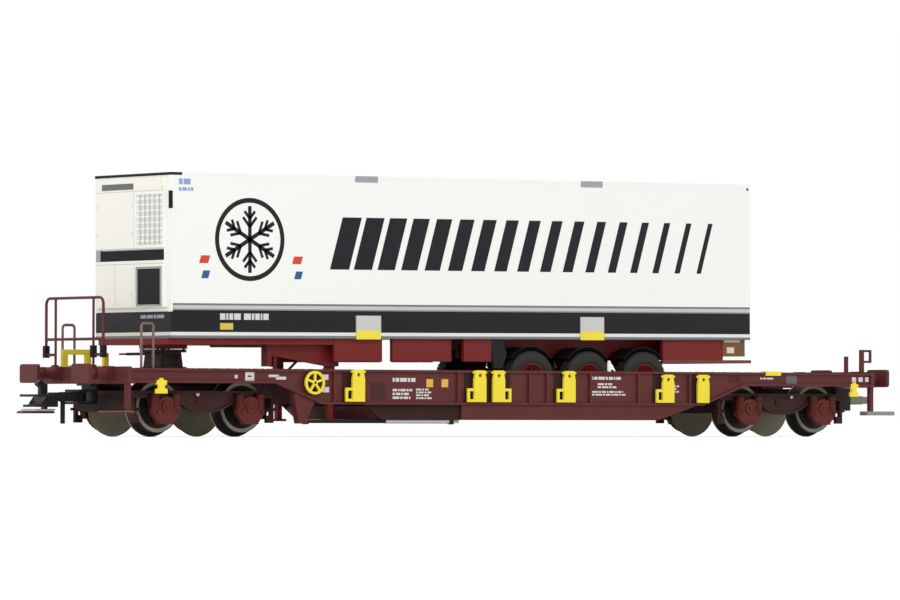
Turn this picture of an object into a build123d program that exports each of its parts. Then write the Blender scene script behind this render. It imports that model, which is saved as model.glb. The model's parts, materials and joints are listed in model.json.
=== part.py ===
from build123d import *
import math
import os

# Model of a four-axle pocket wagon that carries a refrigerated semi-trailer, H0 size (1:87).
# Millimetres of the model. +X runs along the wagon, -Y is the near side, +Z is up.
# Heights here are above the rail. The saved pieces are lifted by the flanges' depth, because the model
# stands on its flanges off its track, with the origin on the floor under the wagon's middle.

# Wheels and track
GAUGE_BACK_TO_BACK = 14.4
FLANGE_DEPTH = 0.9
FLANGE_WIDTH = 0.75
TREAD_RADIUS = 5.3
WHEEL_WIDTH = 2.7
WHEEL_DISH = 0.9
WHEEL_RIM_THICKNESS = 0.8
AXLE_RADIUS = 1.0
JOURNAL_RADIUS = 0.7
JOURNAL_CLEARANCE = 0.06
WHEEL_BASE = 20.7
WHEEL_Z = TREAD_RADIUS
WHEEL_BACK = GAUGE_BACK_TO_BACK / 2
WHEEL_FACE = WHEEL_BACK + WHEEL_WIDTH
FLANGE_RADIUS = TREAD_RADIUS + FLANGE_DEPTH

# Whole wagon
LENGTH_OVER_BUFFERS = 210.0
BUFFER_LENGTH = 7.1
WAGON_WIDTH = 34.0
BUFFER_FACE_X = LENGTH_OVER_BUFFERS / 2
FRAME_END_X = BUFFER_FACE_X - BUFFER_LENGTH
HALF_WIDTH = WAGON_WIDTH / 2

# Each bogie's length over its end beams, outside the flanges, and its room inside the frame's end
BRAKE_CLEAR = 0.15
BOGIE_BEAM = 0.9
BOGIE_END_ROOM = 4.4
BOGIE_HALF_LENGTH = WHEEL_BASE / 2 + FLANGE_RADIUS + BRAKE_CLEAR + BOGIE_BEAM
PIVOT_X = FRAME_END_X - BOGIE_END_ROOM - BOGIE_HALF_LENGTH

# Side sills: heights above the rail, the fish belly's places from the bogie's pivot
SILL_WEB = 0.6
SILL_FLANGE_REACH = 0.5
SILL_FLANGE = 0.5
DECK_TOP = 13.2
DECK_THICKNESS = 0.8
SILL_END_BOTTOM = 10.2
SILL_MID_BOTTOM = 5.9
BELLY_START = 14.4
BELLY_SLOPE = 11.5
RIB_WIDTH = 0.5
RIB_SHARES = [-0.94, -0.306, 0.066, 0.16, 0.39, 0.648, 0.926]
HEADSTOCK_THICKNESS = 1.0
HEADSTOCK_TOP = 13.5
HEADSTOCK_BOTTOM = 10.0
WEB_OUT = HALF_WIDTH - SILL_FLANGE_REACH
WEB_IN = WEB_OUT - SILL_WEB
SILL_END_X = FRAME_END_X - HEADSTOCK_THICKNESS
DECK_UNDERSIDE = DECK_TOP - DECK_THICKNESS
BELLY_OUTER_X = PIVOT_X - BELLY_START
BELLY_INNER_X = BELLY_OUTER_X - BELLY_SLOPE

# Pocket for the trailer's wheels
POCKET_BOTTOM = 2.7
POCKET_FLOOR_TOP = 5.6
POCKET_FLOOR = 0.7
POCKET_CHEEK = 0.6
POCKET_BAYS = 7
SKIRT_END = 1.4
SKIRT_RAMP = 10.6
SKIRT_SHORT = 35.8
TROUGH_SHORT = 11.4
TROUGH_RAMP = 4.1
SKIRT_RAMP_X = BELLY_INNER_X - SKIRT_END
SKIRT_RIGHT_X = SKIRT_RAMP_X - SKIRT_RAMP
SKIRT_LEFT_X = SKIRT_SHORT - BELLY_INNER_X
TROUGH_LEFT_X = TROUGH_SHORT - BELLY_INNER_X
POCKET_CHEEK_TOP = SILL_MID_BOTTOM + SILL_FLANGE
POCKET_UNDER = POCKET_FLOOR_TOP - POCKET_FLOOR
CHEEK_IN = WEB_IN - POCKET_CHEEK

# Deck's cross members, centre sill and holes
CENTRE_SILL = 5.0
BOLSTER_LENGTH = 5.6
BEAM_LENGTH = 1.0
DECK_HOLE_LENGTH = 8.0
DECK_HOLE_WIDTH = 7.0
DECK_HOLE_Y = 9.4
DECK_HOLE_CORNER = 1.0
DECK_HOLE_INNER = 16.4
DECK_HOLE_OUTER = 9.1

# Bogies
PIVOT_PIN_RADIUS = 1.5
PIVOT_CLEARANCE = 0.08
PIVOT_BOSS_RADIUS = 3.0
PIVOT_GAP = 0.15
BOGIE_TOP = 8.6
BOGIE_FRAME_IN = 11.0
BOGIE_FRAME_WEB = 1.2
BOGIE_FLANGE = 0.5
BOGIE_FLANGE_REACH = 0.35
BOGIE_BELLY_DEPTH = 4.6
BOGIE_END_DEPTH = 1.5
BOGIE_ARCH_DEPTH = 2.2
GUARD_HALF = 3.4
GUARD_FOOT_HALF = 2.5
GUARD_DROP = 2.0
BOGIE_END_BEAM = 0.8
BOGIE_BOLSTER_LENGTH = 4.8
BOGIE_BOLSTER_DEPTH = 2.4
AXLEBOX_WIDTH = 3.4
AXLEBOX_DEPTH = 1.3
AXLEBOX_BOTTOM = 1.8
AXLEBOX_TOP = 7.4
AXLEBOX_CROWN = 0.6
AXLEBOX_COVER_RADIUS = 1.2
AXLEBOX_COVER_PROUD = 0.2
AXLEBOX_COVER_SIDES = 12
SPRING_RADIUS = 0.85
SPRING_OFFSET = 2.5
SPRING_SIDES = 8
SPRING_SEAT_Z = 4.0
SPRING_SEAT = 0.7
SPRING_TOP = 7.9
BRAKE_GAP = 0.25
BRAKE_BLOCK = 0.9
BRAKE_BLOCK_ANGLE = 46.0
BRAKE_BAR = 0.7
BRAKE_BAR_THICKNESS = 0.6
BOGIE_FRAME_OUT = BOGIE_FRAME_IN + BOGIE_FRAME_WEB
BOGIES = [("left", -1), ("right", 1)]

# Buffers
BUFFER_SPACING = 20.1
BUFFER_Z = 12.1
BUFFER_HEAD = 0.8
BUFFER_HEAD_WIDTH = 6.9
BUFFER_HEAD_HEIGHT = 3.9
BUFFER_HEAD_CORNER = 0.7
BUFFER_BASE = 0.7
BUFFER_BASE_WIDTH = 3.4
BUFFER_BASE_HEIGHT = 3.0
BUFFER_SLEEVE_RADIUS = 1.35
BUFFER_SLEEVE_TIP_RADIUS = 1.15
BUFFER_PLUNGER_RADIUS = 0.9
BUFFER_SLEEVE_LENGTH = 3.6
BUFFER_SIDES = 12

# Left coupler and its pocket, places from the frame's end
COUPLER_Z = 7.3
COUPLER_THICKNESS = 1.8
COUPLER_WIDTH = 2.8
COUPLER_PIVOT = 1.0
COUPLER_PIN_RADIUS = 0.5
COUPLER_CLEARANCE = 0.08
COUPLER_HEAD = 7.7
COUPLER_HEAD_LENGTH = 4.0
COUPLER_HEAD_WIDTH = 5.2
COUPLER_HEAD_DEPTH = 1.2
COUPLER_LIP = 1.2
COUPLER_LIP_THICKNESS = 0.5
COUPLER_TIP = 13.3
COUPLER_BOW_WIDTH = 9.0
COUPLER_BOW_BAR = 0.8
COUPLER_BOW_THICKNESS = 0.5
COUPLER_BOW_CORNER = 1.2
COUPLER_HOOK = 9.4
COUPLER_HOOK_LENGTH = 1.2
COUPLER_HOOK_WIDTH = 1.2
COUPLER_HOOK_RISE = 2.6
COUPLER_HOOK_NOSE = 0.9
TRIP_PIN = 5.0
TRIP_PIN_RADIUS = 0.5
TRIP_PIN_BOTTOM = 1.8
TRIP_PIN_SIDES = 8
POCKET_PLATE = 0.5
POCKET_GAP = 0.12
POCKET_LENGTH = 4.6
POCKET_WALL = 0.6
POCKET_INSET = 0.8
COUPLER_POCKET_WIDTH = 5.4
COUPLER_POCKET_TOP = 0.4

# Right coupling pocket, without its head
BLOCK_INSET = 0.3
BLOCK_LENGTH = 5.2
BLOCK_WIDTH = 6.0
BLOCK_BOTTOM = 4.9
BLOCK_CHAMFER = 0.8
STUB_LENGTH = 5.8
STUB_WIDTH = 3.2
STUB_BOTTOM = 6.5
STUB_TOP = 8.0

# Folding lugs on the sills: place as a share of the belly's half length, side of the pull loop
# (-1 left, 1 right, 0 none), how far the top stays below the deck
SILL_LUGS = [
    (-0.826, -1, 0.0),
    (-0.202, -1, 0.0),
    (-0.104, 1, 0.0),
    (0.268, -1, 0.0),
    (0.80, -1, 0.6),
    (0.992, 0, 0.6),
]
LUG_THICKNESS = 0.6
LUG_BOTTOM = 6.5
LUG_WIDTH = 3.1
LUG_TOP_WIDTH = 2.3
LUG_TAPER = 2.0
LUG_LOOP_LENGTH = 1.7
LUG_LOOP_HEIGHT = 2.9
LUG_LOOP_BAR = 0.6
LUG_LOOP_INSET = 0.1
LUG_EYE_RADIUS = 0.45
LUG_EYE_DROP = 1.1
LUG_EYE_SIDES = 6

# Spigots on the end decks: distance from the frame's end
SPIGOT_LEFT_NEAR = 7.2
SPIGOT_RIGHT_NEAR = 6.5
SPIGOT_LEFT_FAR = 6.8
SPIGOT_RIGHT_FAR = 5.9
SPIGOT_DOWN_LENGTH = 3.6
SPIGOT_DOWN_BOTTOM = 8.0
SPIGOT_DOWN_THICKNESS = 0.8
SPIGOT_NECK = 0.9
SPIGOT_UP_LENGTH = 7.0
SPIGOT_UP_TOP = 17.8
SPIGOT_UP_BAR = 1.3
SPIGOT_UP_SILL = 0.7
SPIGOT_UP_HEAD = 1.1
SPIGOT_UP_INSET = 3.6
SPIGOT_UP_THICKNESS = 0.9
SPIGOT_FLAT_LENGTH = 5.2
SPIGOT_FLAT_WIDTH = 3.8
SPIGOT_FLAT_INSET = 1.7
SPIGOT_FLAT_THICKNESS = 0.6

# Handwheels
HANDWHEEL_OUTBOARD = 2.4
HANDWHEEL_Z = 10.4
HANDWHEEL_RADIUS = 2.45
HANDWHEEL_RIM = 0.5
HANDWHEEL_THICKNESS = 0.5
HANDWHEEL_STAND_OFF = 0.3
HANDWHEEL_SPOKES = 5
HANDWHEEL_SPOKE_WIDTH = 0.45
HANDWHEEL_HUB_RADIUS = 0.6
HANDWHEEL_SIDES = 18

# Railing, hoops, lamp fittings and steps
RAILING_INSET = 0.5
RAILING_TOP = 27.7
RAILING_MID = 19.2
RAILING_LOW = 16.0
RAILING_SIDE_INSET = 1.6
RAILING_WIDTH = 22.2
RAILING_NEAR_BAY = 3.8
RAILING_FAR_BAY = 3.7
RAILING_CORNER = 1.4
WIRE_RADIUS = 0.3
WIRE_SIDES = 6
CLAMP_SIZE = 0.9
CLAMP_BELOW = 0.4
CLAMP_ABOVE = 1.7
HOOP_INSET = 5.8
HOOP_WIDTH = 2.9
HOOP_SIDE_INSET = 1.8
HOOP_TOP = 22.3
HOOP_CORNER = 0.7
FITTING_SIDE_INSET = 2.0
LAMP_POST_INSET = 2.6
LAMP_POST = 1.0
LAMP_POST_WIDTH = 0.6
LAMP_POST_TOP = 18.4
LAMP_LOOP_LENGTH = 2.2
LAMP_LOOP_HEIGHT = 2.9
LAMP_LOOP_BAR = 0.5
LAMP_LOOP_WIDTH = 0.4
LAMP_PIN_INSET = 6.5
LAMP_PIN_WIDTH = 0.7
LAMP_PIN_TOP = 16.9
STEP_Z = 4.3
STEP_THICKNESS = 0.4
STEP_POST_WIDTH = 1.0
STEP_POST_INSET = 0.4
STEP_REACH = 5.7
STEP_INBOARD = 2.0
STEP_WIDTH = 2.5
STEP_SIDE_INSET = 0.1

# Brake bracket and rod under the near sill: places from the belly's inner end
ROD_INSET = 1.8
ROD_Z = 2.35
ROD_WIDTH = 0.66
ROD_START = 3.4
BRACKET_TOP_OUTER = 7.0
BRACKET_TOP_INNER = 1.6
BRACKET_FOOT = 5.6
BRACKET_BOTTOM = 1.9
BRACKET_EYE = 1.0
BRACKET_DEPTH = 0.5

# Hitch on the left deck, a little outboard of the bogie's pivot
HITCH_OUTBOARD = 2.6
HITCH_TOP = 17.2
HITCH_PLATE_LENGTH = 8.2
HITCH_PLATE_WIDTH = 7.6
HITCH_PLATE = 0.6
HITCH_PLATE_CORNER = 1.2
PEDESTAL_LENGTH = 5.8
PEDESTAL_WIDTH = 6.4
PEDESTAL_TAPER = 0.5
PEDESTAL_HOLLOW = 3.4
PEDESTAL_FOOT = 0.5
PEDESTAL_CAP = 0.6
LEVER_OFFSET = 2.0
LEVER_REACH = 7.8
LEVER_WIDTH = 0.6
LEVER_ROOT = 0.6
KINGPIN_RADIUS = 0.6
KINGPIN_CLEARANCE = 0.25
HITCH_X = -PIVOT_X - HITCH_OUTBOARD

# Trailer: its own frame has its origin under the box's middle, at the rails' lower edge
SIDE_ROOM = 2.6
TRAILER_HEIGHT = 34.0
TRAILER_RAIL_Z = 19.85
TRAILER_TILT = 0.35
FRONT_OVERHANG = 7.4
REAR_OVERHANG = 28.65
AXLE_SPACING = 15.05
LAST_AXLE_ROOM = 12.45
LAST_AXLE_X = SKIRT_RAMP_X - LAST_AXLE_ROOM
FIRST_AXLE_X = LAST_AXLE_X - 2 * AXLE_SPACING
TRAILER_FRONT_X = HITCH_X - FRONT_OVERHANG
TRAILER_LENGTH = LAST_AXLE_X + REAR_OVERHANG - TRAILER_FRONT_X
TRAILER_MID_X = TRAILER_FRONT_X + TRAILER_LENGTH / 2
T_END = TRAILER_LENGTH / 2
T_SIDE = HALF_WIDTH - SIDE_ROOM

# Box body
WALL = 0.5
ROOF = 0.5
FLOOR = 0.7
RAIL_PROUD = 0.1
REAR_FRAME_LENGTH = 1.3
REAR_POST = 1.3
REAR_HEADER = 1.1
REAR_SILL = 0.7
DOOR_THICKNESS = 0.7
DOOR_GAP = 0.1
DOOR_INSET = 0.1
T_IN = T_SIDE - WALL
WALL_TOP = TRAILER_HEIGHT - ROOF

# Refrigeration unit on the box's front: heights from the top edge or from the rails
UNIT_DEPTH = 0.8
UNIT_SIDE_INSET = 1.2
UNIT_BOTTOM = 6.4
UNIT_TOP_INSET = 1.0
UNIT_CORNER = 0.3
UNIT_RECESS = 0.3
UNIT_RECESS_INSET = 0.2
GRILLE_SIDE = 2.1
GRILLE_TOP = 4.0
GRILLE_BOTTOM = 15.2
GRILLE_BAR = 0.4
GRILLE_SLATS = 9
GRILLE_SLAT_INSET = 0.1
SLOT_TOP = 15.6
SLOT_BOTTOM = 18.0
PANEL_TOP = 19.4
PANEL_BOTTOM = 6.9
PANEL_INSET = 1.4

# Lifting plates under the box sides: middle as a share of the half length
LIFT_PLATE_SHARES = (-0.349, 0.426)
LIFT_PLATE_WIDTH = 6.2
LIFT_PLATE_TOP = 4.8
LIFT_PLATE_LIP = 0.15
LIFT_PLATE_PROUD = 0.25

# Neck with the kingpin
NECK_DEPTH = 1.3
NECK_SIDE_INSET = 1.0
NECK_RAIL = 0.9
NECK_HEAD = 1.2
NECK_CROSSES = 3
CROSS_WIDTH = 1.2
SHOE_LENGTH = 7.6
SHOE_WIDTH = 6.6
SEAT_GAP = 0.12
KINGPIN_PLATE_LENGTH = 12.0
KINGPIN_PLATE_WIDTH = 15.0
KINGPIN_X = FRONT_OVERHANG - T_END

# Landing gear: bulkhead and legs at shares of the way from the kingpin to the first axle
LEG_SHARE = 0.4145
BULKHEAD_SHARE = 0.217
LEG_SIDE_INSET = 4.8
LEG_SIZE = 1.7
LEG_INNER = 1.2
LEG_SLEEVE = 8.5
LEG_BOTTOM = 17.3
LEG_FOOT_LENGTH = 2.6
LEG_FOOT_WIDTH = 2.4
LEG_FOOT = 0.5
BULKHEAD = 1.2
BULKHEAD_DEPTH = 5.8
CHEEK_RISE = 3.6
CHEEK = 0.8
CHEEK_FRONT = 1.5
CHEEK_REAR = 1.3
CHEEK_CROSS_DEPTH = 3.2
KINGPIN_TO_AXLE = FIRST_AXLE_X - HITCH_X
LEG_X = KINGPIN_X + LEG_SHARE * KINGPIN_TO_AXLE
BULKHEAD_X = KINGPIN_X + BULKHEAD_SHARE * KINGPIN_TO_AXLE

# Side panels under the box: the first two end at shares of the way from the legs to the mudguard's flap
PANEL_SIDE_INSET = 0.9
SIDE_PANEL = 0.9
SIDE_PANEL_DEPTH = 4.8
REAR_PANEL_DEPTH = 4.4
FRONT_PANEL_START = 1.4
FRONT_PANEL_END_SHARE = 0.346
MIDDLE_PANEL_START_SHARE = 0.43
MIDDLE_PANEL_END_SHARE = 0.917
REAR_PANEL_START = 5.3
REAR_PANEL_END = 6.85

# Axle frame
TYRE_RADIUS = 5.9
TYRE_GAP = 0.12
TYRE_WIDTH = 4.0
TYRE_SIDE_INSET = 0.1
TYRE_SHOULDER = 0.7
RIM_RADIUS = 3.2
RIM_INSET = 0.3
RIM_WIDTH = 3.4
RIM_DISH = 1.2
HUB_RADIUS = 1.2
SHAFT_RADIUS = 0.6
SHAFT_CLEARANCE = 0.06
AXLE_BEAM_Y = 6.2
AXLE_BEAM = 1.0
AXLE_BEAM_DEPTH = 4.0
AXLE_BEAM_START = 14.6
HANGER_TOP_HALF = 3.0
HANGER_FOOT_HALF = 1.2
HANGER_DROP = 1.6
HANGER_LAP = 0.5
AXLE_CROSS_DEPTH = 2.0

# Mudguards: arches over the tyres and a flap before the first
ARCH_GAP = 0.45
ARCH_THICKNESS = 0.35
ARCH_REACH = 50.0
FLAP_START = 18.3
FLAP_TOP_END = 14.0
FLAP_FOOT_END = 15.8
FLAP_DEPTH = 5.6

# Rear gear
UNDERRUN_BOTTOM = 5.1
UNDERRUN_TOP = 4.4
UNDERRUN_BAR = 1.2
UNDERRUN_RAIL = 0.7
UNDERRUN_REACH = 1.0
LAMP_LENGTH = 6.1
LAMP_WIDTH = 3.2
LAMP_DEPTH = 3.6


def slab(x0, x1, y0, y1, z0, z1):
    """A box between two corners."""
    centre = ((x0 + x1) / 2, (y0 + y1) / 2, (z0 + z1) / 2)
    return Pos(*centre) * Box(abs(x1 - x0), abs(y1 - y0), abs(z1 - z0))


def across(face, y0, y1):
    """A face of (x, z), drawn out across the wagon from y0 to y1."""
    return extrude(Plane.XZ.offset(-y1) * face, amount=y1 - y0)


def side_plate(points, y0, y1):
    """An outline of (x, z) points, drawn out across the wagon from y0 to y1."""
    return across(make_face(Polyline(*points, close=True)), y0, y1)


def wire(start, end, radius=WIRE_RADIUS, sides=WIRE_SIDES):
    """A straight wire between two points."""
    axis = Vector(*end) - Vector(*start)
    return extrude(Plane(origin=start, z_dir=axis) * RegularPolygon(radius, sides), amount=axis.length)


def bent_wire(path):
    """A wire along a bent path."""
    return sweep(Plane(origin=path @ 0, z_dir=path % 0) * RegularPolygon(WIRE_RADIUS, WIRE_SIDES), path=path)


def bore(x, z, radius, y0, y1):
    """A round bore about an axis across the wagon."""
    return across(Pos(x, z) * Circle(radius), y0, y1)


def fused(pieces):
    """One solid from pieces that touch."""
    result = pieces[0]
    for piece in pieces[1:]:
        result = result + piece
    return result


def both_sides(piece):
    """A piece and its mirror image across the wagon's centre line."""
    return [piece, mirror(piece, about=Plane.XZ)]


def both_ends(piece):
    """A right end piece and its mirror image at the left end."""
    return [piece, mirror(piece, about=Plane.YZ)]


def save(name, pieces):
    """Writes one node, lifted from the rail to the floor: each of its solids stands clear of the others."""
    solids = []
    for piece in pieces:
        solids.extend((Pos(0, 0, FLANGE_DEPTH) * piece).solids())
    export_step(Compound(children=solids), f"parts/{name}.step")


def belly_z(x):
    """Height of the side sill's lower edge at x, without the deep skirt."""
    share = (abs(x) - BELLY_INNER_X) / BELLY_SLOPE
    share = min(max(share, 0.0), 1.0)
    return SILL_MID_BOTTOM + share * (SILL_END_BOTTOM - SILL_MID_BOTTOM)


def side_sill():
    """The far side sill: a fish-bellied web with flanges, ribs and the pocket's deep skirt."""
    lower = [
        (-SILL_END_X, SILL_END_BOTTOM),
        (-BELLY_OUTER_X, SILL_END_BOTTOM),
        (-BELLY_INNER_X, SILL_MID_BOTTOM),
        (BELLY_INNER_X, SILL_MID_BOTTOM),
        (BELLY_OUTER_X, SILL_END_BOTTOM),
        (SILL_END_X, SILL_END_BOTTOM),
    ]
    skirt = [
        (SKIRT_LEFT_X, POCKET_CHEEK_TOP),
        (SKIRT_LEFT_X, POCKET_BOTTOM),
        (SKIRT_RIGHT_X, POCKET_BOTTOM),
        (SKIRT_RAMP_X, SILL_MID_BOTTOM),
        (SKIRT_RAMP_X, POCKET_CHEEK_TOP),
    ]
    lower_flange = lower + [(x, z + SILL_FLANGE) for x, z in reversed(lower)]
    pieces = [
        side_plate(lower + [(SILL_END_X, DECK_TOP), (-SILL_END_X, DECK_TOP)], WEB_IN, WEB_OUT),
        side_plate(skirt, WEB_IN, WEB_OUT),
        side_plate(lower_flange, WEB_IN, HALF_WIDTH),
        slab(-SILL_END_X, SILL_END_X, WEB_IN, HALF_WIDTH, DECK_TOP - SILL_FLANGE, DECK_TOP),
    ]
    for share in RIB_SHARES:
        x = share * BELLY_INNER_X
        pieces.append(slab(x - RIB_WIDTH / 2, x + RIB_WIDTH / 2, WEB_IN, HALF_WIDTH, belly_z(x), DECK_TOP))
    return fused(pieces)


def end_deck():
    """The right end's deck plate with its four openings."""
    plate = slab(BELLY_INNER_X, SILL_END_X, -WEB_IN, WEB_IN, DECK_UNDERSIDE, DECK_TOP)
    opening = Box(DECK_HOLE_LENGTH, DECK_HOLE_WIDTH, 2 * DECK_THICKNESS)
    opening = chamfer(opening.edges().filter_by(Axis.Z), DECK_HOLE_CORNER)
    for x in (PIVOT_X - DECK_HOLE_INNER, PIVOT_X + DECK_HOLE_OUTER):
        for piece in both_sides(Pos(x, DECK_HOLE_Y, DECK_TOP) * opening):
            plate = plate - piece
    return plate


def end_frame():
    """What carries the right end's deck: centre sill, bolster with the pivot's boss, and a cross beam."""
    boss_bottom = BOGIE_TOP + PIVOT_GAP
    half_sill = CENTRE_SILL / 2
    half_bolster = BOLSTER_LENGTH / 2
    pieces = [
        slab(BELLY_INNER_X, SILL_END_X, -half_sill, half_sill, SILL_END_BOTTOM, DECK_UNDERSIDE),
        Pos(PIVOT_X, 0, 0)
        * slab(-half_bolster, half_bolster, -WEB_IN, WEB_IN, SILL_END_BOTTOM, DECK_UNDERSIDE),
        Pos(BELLY_INNER_X, 0, 0) * slab(0, BEAM_LENGTH, -WEB_IN, WEB_IN, SILL_MID_BOTTOM, DECK_UNDERSIDE),
        Pos(PIVOT_X, 0, (boss_bottom + SILL_END_BOTTOM) / 2)
        * Cylinder(PIVOT_BOSS_RADIUS, SILL_END_BOTTOM - boss_bottom),
    ]
    socket = Pos(PIVOT_X, 0, (boss_bottom + DECK_UNDERSIDE) / 2) * Cylinder(
        PIVOT_PIN_RADIUS + PIVOT_CLEARANCE, DECK_UNDERSIDE - boss_bottom
    )
    return fused(pieces) - socket


def headstock():
    """The right end's buffer beam."""
    return slab(SILL_END_X, FRAME_END_X, -HALF_WIDTH, HALF_WIDTH, HEADSTOCK_BOTTOM, HEADSTOCK_TOP)


def trough_x(z):
    """Left and right ends of the trough's outline at height z."""
    share = (z - POCKET_BOTTOM) / (SILL_MID_BOTTOM - POCKET_BOTTOM)
    return TROUGH_LEFT_X + (1 - share) * TROUGH_RAMP, SKIRT_RIGHT_X + share * SKIRT_RAMP


def pocket():
    """The trough that the trailer's wheels stand in: floor plate, far cheek, and the ribs and ends below."""
    left, right = trough_x(POCKET_UNDER)
    low_left, low_right = trough_x(POCKET_BOTTOM)
    floor = slab(left, right, -CHEEK_IN, CHEEK_IN, POCKET_UNDER, POCKET_FLOOR_TOP)
    cheek = side_plate(
        [
            (TROUGH_LEFT_X, POCKET_CHEEK_TOP),
            (TROUGH_LEFT_X, SILL_MID_BOTTOM),
            (low_left, POCKET_BOTTOM),
            (low_right, POCKET_BOTTOM),
            (SKIRT_RAMP_X, SILL_MID_BOTTOM),
            (SKIRT_RAMP_X, POCKET_CHEEK_TOP),
        ],
        CHEEK_IN,
        WEB_IN,
    )
    ribs = []
    for end, low_end in ((left, low_left), (right, low_right)):
        wedge = [(end, POCKET_UNDER), (low_end, POCKET_BOTTOM), (low_end, POCKET_UNDER)]
        ribs.append(side_plate(wedge, -CHEEK_IN, CHEEK_IN))
    rib_low = POCKET_BOTTOM + RIB_WIDTH
    for number in range(1, POCKET_BAYS):
        x = low_left + number * (low_right - low_left) / POCKET_BAYS
        ribs.append(slab(x - RIB_WIDTH, x + RIB_WIDTH, -CHEEK_IN, CHEEK_IN, rib_low, POCKET_UNDER))
    return floor, cheek, ribs


def wheelset():
    """An axle with its two flanged, dished wheels and its journals, turned about Y at the origin."""
    journal_end = BOGIE_FRAME_OUT - JOURNAL_CLEARANCE
    far = [
        (AXLE_RADIUS, WHEEL_BACK),
        (FLANGE_RADIUS, WHEEL_BACK),
        (TREAD_RADIUS, WHEEL_BACK + FLANGE_WIDTH),
        (TREAD_RADIUS, WHEEL_FACE),
        (TREAD_RADIUS - WHEEL_RIM_THICKNESS, WHEEL_FACE),
        (JOURNAL_RADIUS, WHEEL_FACE - WHEEL_DISH),
        (JOURNAL_RADIUS, journal_end),
        (0, journal_end),
    ]
    near = [(radius, -y) for radius, y in reversed(far)]
    return revolve(make_face(Polyline(*(near + far), close=True)), Axis.Y)


def arc_band(points, thickness, y0, y1):
    """A strip of the given thickness above an arc through three (x, z) points, drawn out across the wagon."""
    raised = [(x, z + thickness) for x, z in points]
    edges = ThreePointArc(*points) + Line(points[2], raised[2])
    edges += ThreePointArc(*raised) + Line(raised[0], points[0])
    return across(make_face(edges), y0, y1)


def bogie_side_frame():
    """The far side frame about the bogie's centre: curved belly, guards down to each axle, flanges, bores."""
    half = WHEEL_BASE / 2
    foot_z = WHEEL_Z - GUARD_DROP
    arch_z = BOGIE_TOP - BOGIE_ARCH_DEPTH
    end_z = BOGIE_TOP - BOGIE_END_DEPTH
    belly_half = half - GUARD_HALF
    belly = [(-belly_half, arch_z), (0, BOGIE_TOP - BOGIE_BELLY_DEPTH), (belly_half, arch_z)]
    right = [
        (belly_half, arch_z),
        (half - GUARD_FOOT_HALF, foot_z),
        (half + GUARD_FOOT_HALF, foot_z),
        (half + GUARD_HALF, end_z),
        (BOGIE_HALF_LENGTH, end_z),
        (BOGIE_HALF_LENGTH, BOGIE_TOP),
    ]
    left = [(-x, z) for x, z in reversed(right)]
    edges = ThreePointArc(*belly) + Polyline(*(right + left))
    flange_out = BOGIE_FRAME_OUT + BOGIE_FLANGE_REACH
    frame = fused(
        [
            across(make_face(edges), BOGIE_FRAME_IN, BOGIE_FRAME_OUT),
            arc_band(belly, BOGIE_FLANGE, BOGIE_FRAME_IN, flange_out),
            slab(
                -BOGIE_HALF_LENGTH,
                BOGIE_HALF_LENGTH,
                BOGIE_FRAME_IN,
                flange_out,
                BOGIE_TOP - BOGIE_FLANGE,
                BOGIE_TOP,
            ),
        ]
    )
    for x in (-half, half):
        frame = frame - bore(x, WHEEL_Z, JOURNAL_RADIUS + JOURNAL_CLEARANCE, BOGIE_FRAME_IN, BOGIE_FRAME_OUT)
    return frame


def brake_pair(x, side):
    """Two brake blocks with their cross bar, straps and hangers, beside the wheels at x, towards side."""
    inner = TREAD_RADIUS + BRAKE_GAP
    outer = inner + BRAKE_BLOCK
    low = WHEEL_BACK + FLANGE_WIDTH + BRAKE_CLEAR
    high = WHEEL_FACE
    swing = BRAKE_BLOCK_ANGLE / 2
    shoe, back = (
        [
            (side * radius * math.cos(math.radians(angle)), radius * math.sin(math.radians(angle)))
            for angle in (-swing, 0, swing)
        ]
        for radius in (inner, outer)
    )
    edges = ThreePointArc(*shoe) + Line(shoe[2], back[2])
    edges += ThreePointArc(*back) + Line(back[0], shoe[0])
    block = across(make_face(edges), low, high)
    bar_in = side * (FLANGE_RADIUS + BRAKE_CLEAR)
    bar_out = bar_in + side * BRAKE_BAR_THICKNESS
    half_bar = BRAKE_BAR / 2
    bar = slab(bar_in, bar_out, -high, high, -half_bar, half_bar)
    strap = slab(side * (inner + BRAKE_BLOCK / 2), bar_out, low, high, -half_bar, half_bar)
    hanger = slab(bar_in, bar_out, low, low + BRAKE_BLOCK, 0, BOGIE_TOP - WHEEL_Z - BOGIE_END_BEAM)
    return Pos(x, 0, WHEEL_Z) * fused([bar] + both_sides(block) + both_sides(strap) + both_sides(hanger))


def bogie_frame():
    """Side frames, bolster with the pivot pin, end beams and brake gear, about the bogie's centre."""
    half = WHEEL_BASE / 2
    half_bolster = BOGIE_BOLSTER_LENGTH / 2
    pin_top = DECK_UNDERSIDE - PIVOT_GAP
    pieces = both_sides(bogie_side_frame())
    pieces.append(
        slab(
            -half_bolster,
            half_bolster,
            -BOGIE_FRAME_IN,
            BOGIE_FRAME_IN,
            BOGIE_TOP - BOGIE_BOLSTER_DEPTH,
            BOGIE_TOP,
        )
    )
    pieces.append(Pos(0, 0, (BOGIE_TOP + pin_top) / 2) * Cylinder(PIVOT_PIN_RADIUS, pin_top - BOGIE_TOP))
    for side in (-1, 1):
        beam_in = side * (half + FLANGE_RADIUS + BRAKE_CLEAR)
        pieces.append(
            slab(
                beam_in,
                side * BOGIE_HALF_LENGTH,
                -BOGIE_FRAME_IN,
                BOGIE_FRAME_IN,
                BOGIE_TOP - BOGIE_END_BEAM,
                BOGIE_TOP,
            )
        )
        pieces.append(brake_pair(side * half, side))
    return fused(pieces)


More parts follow.
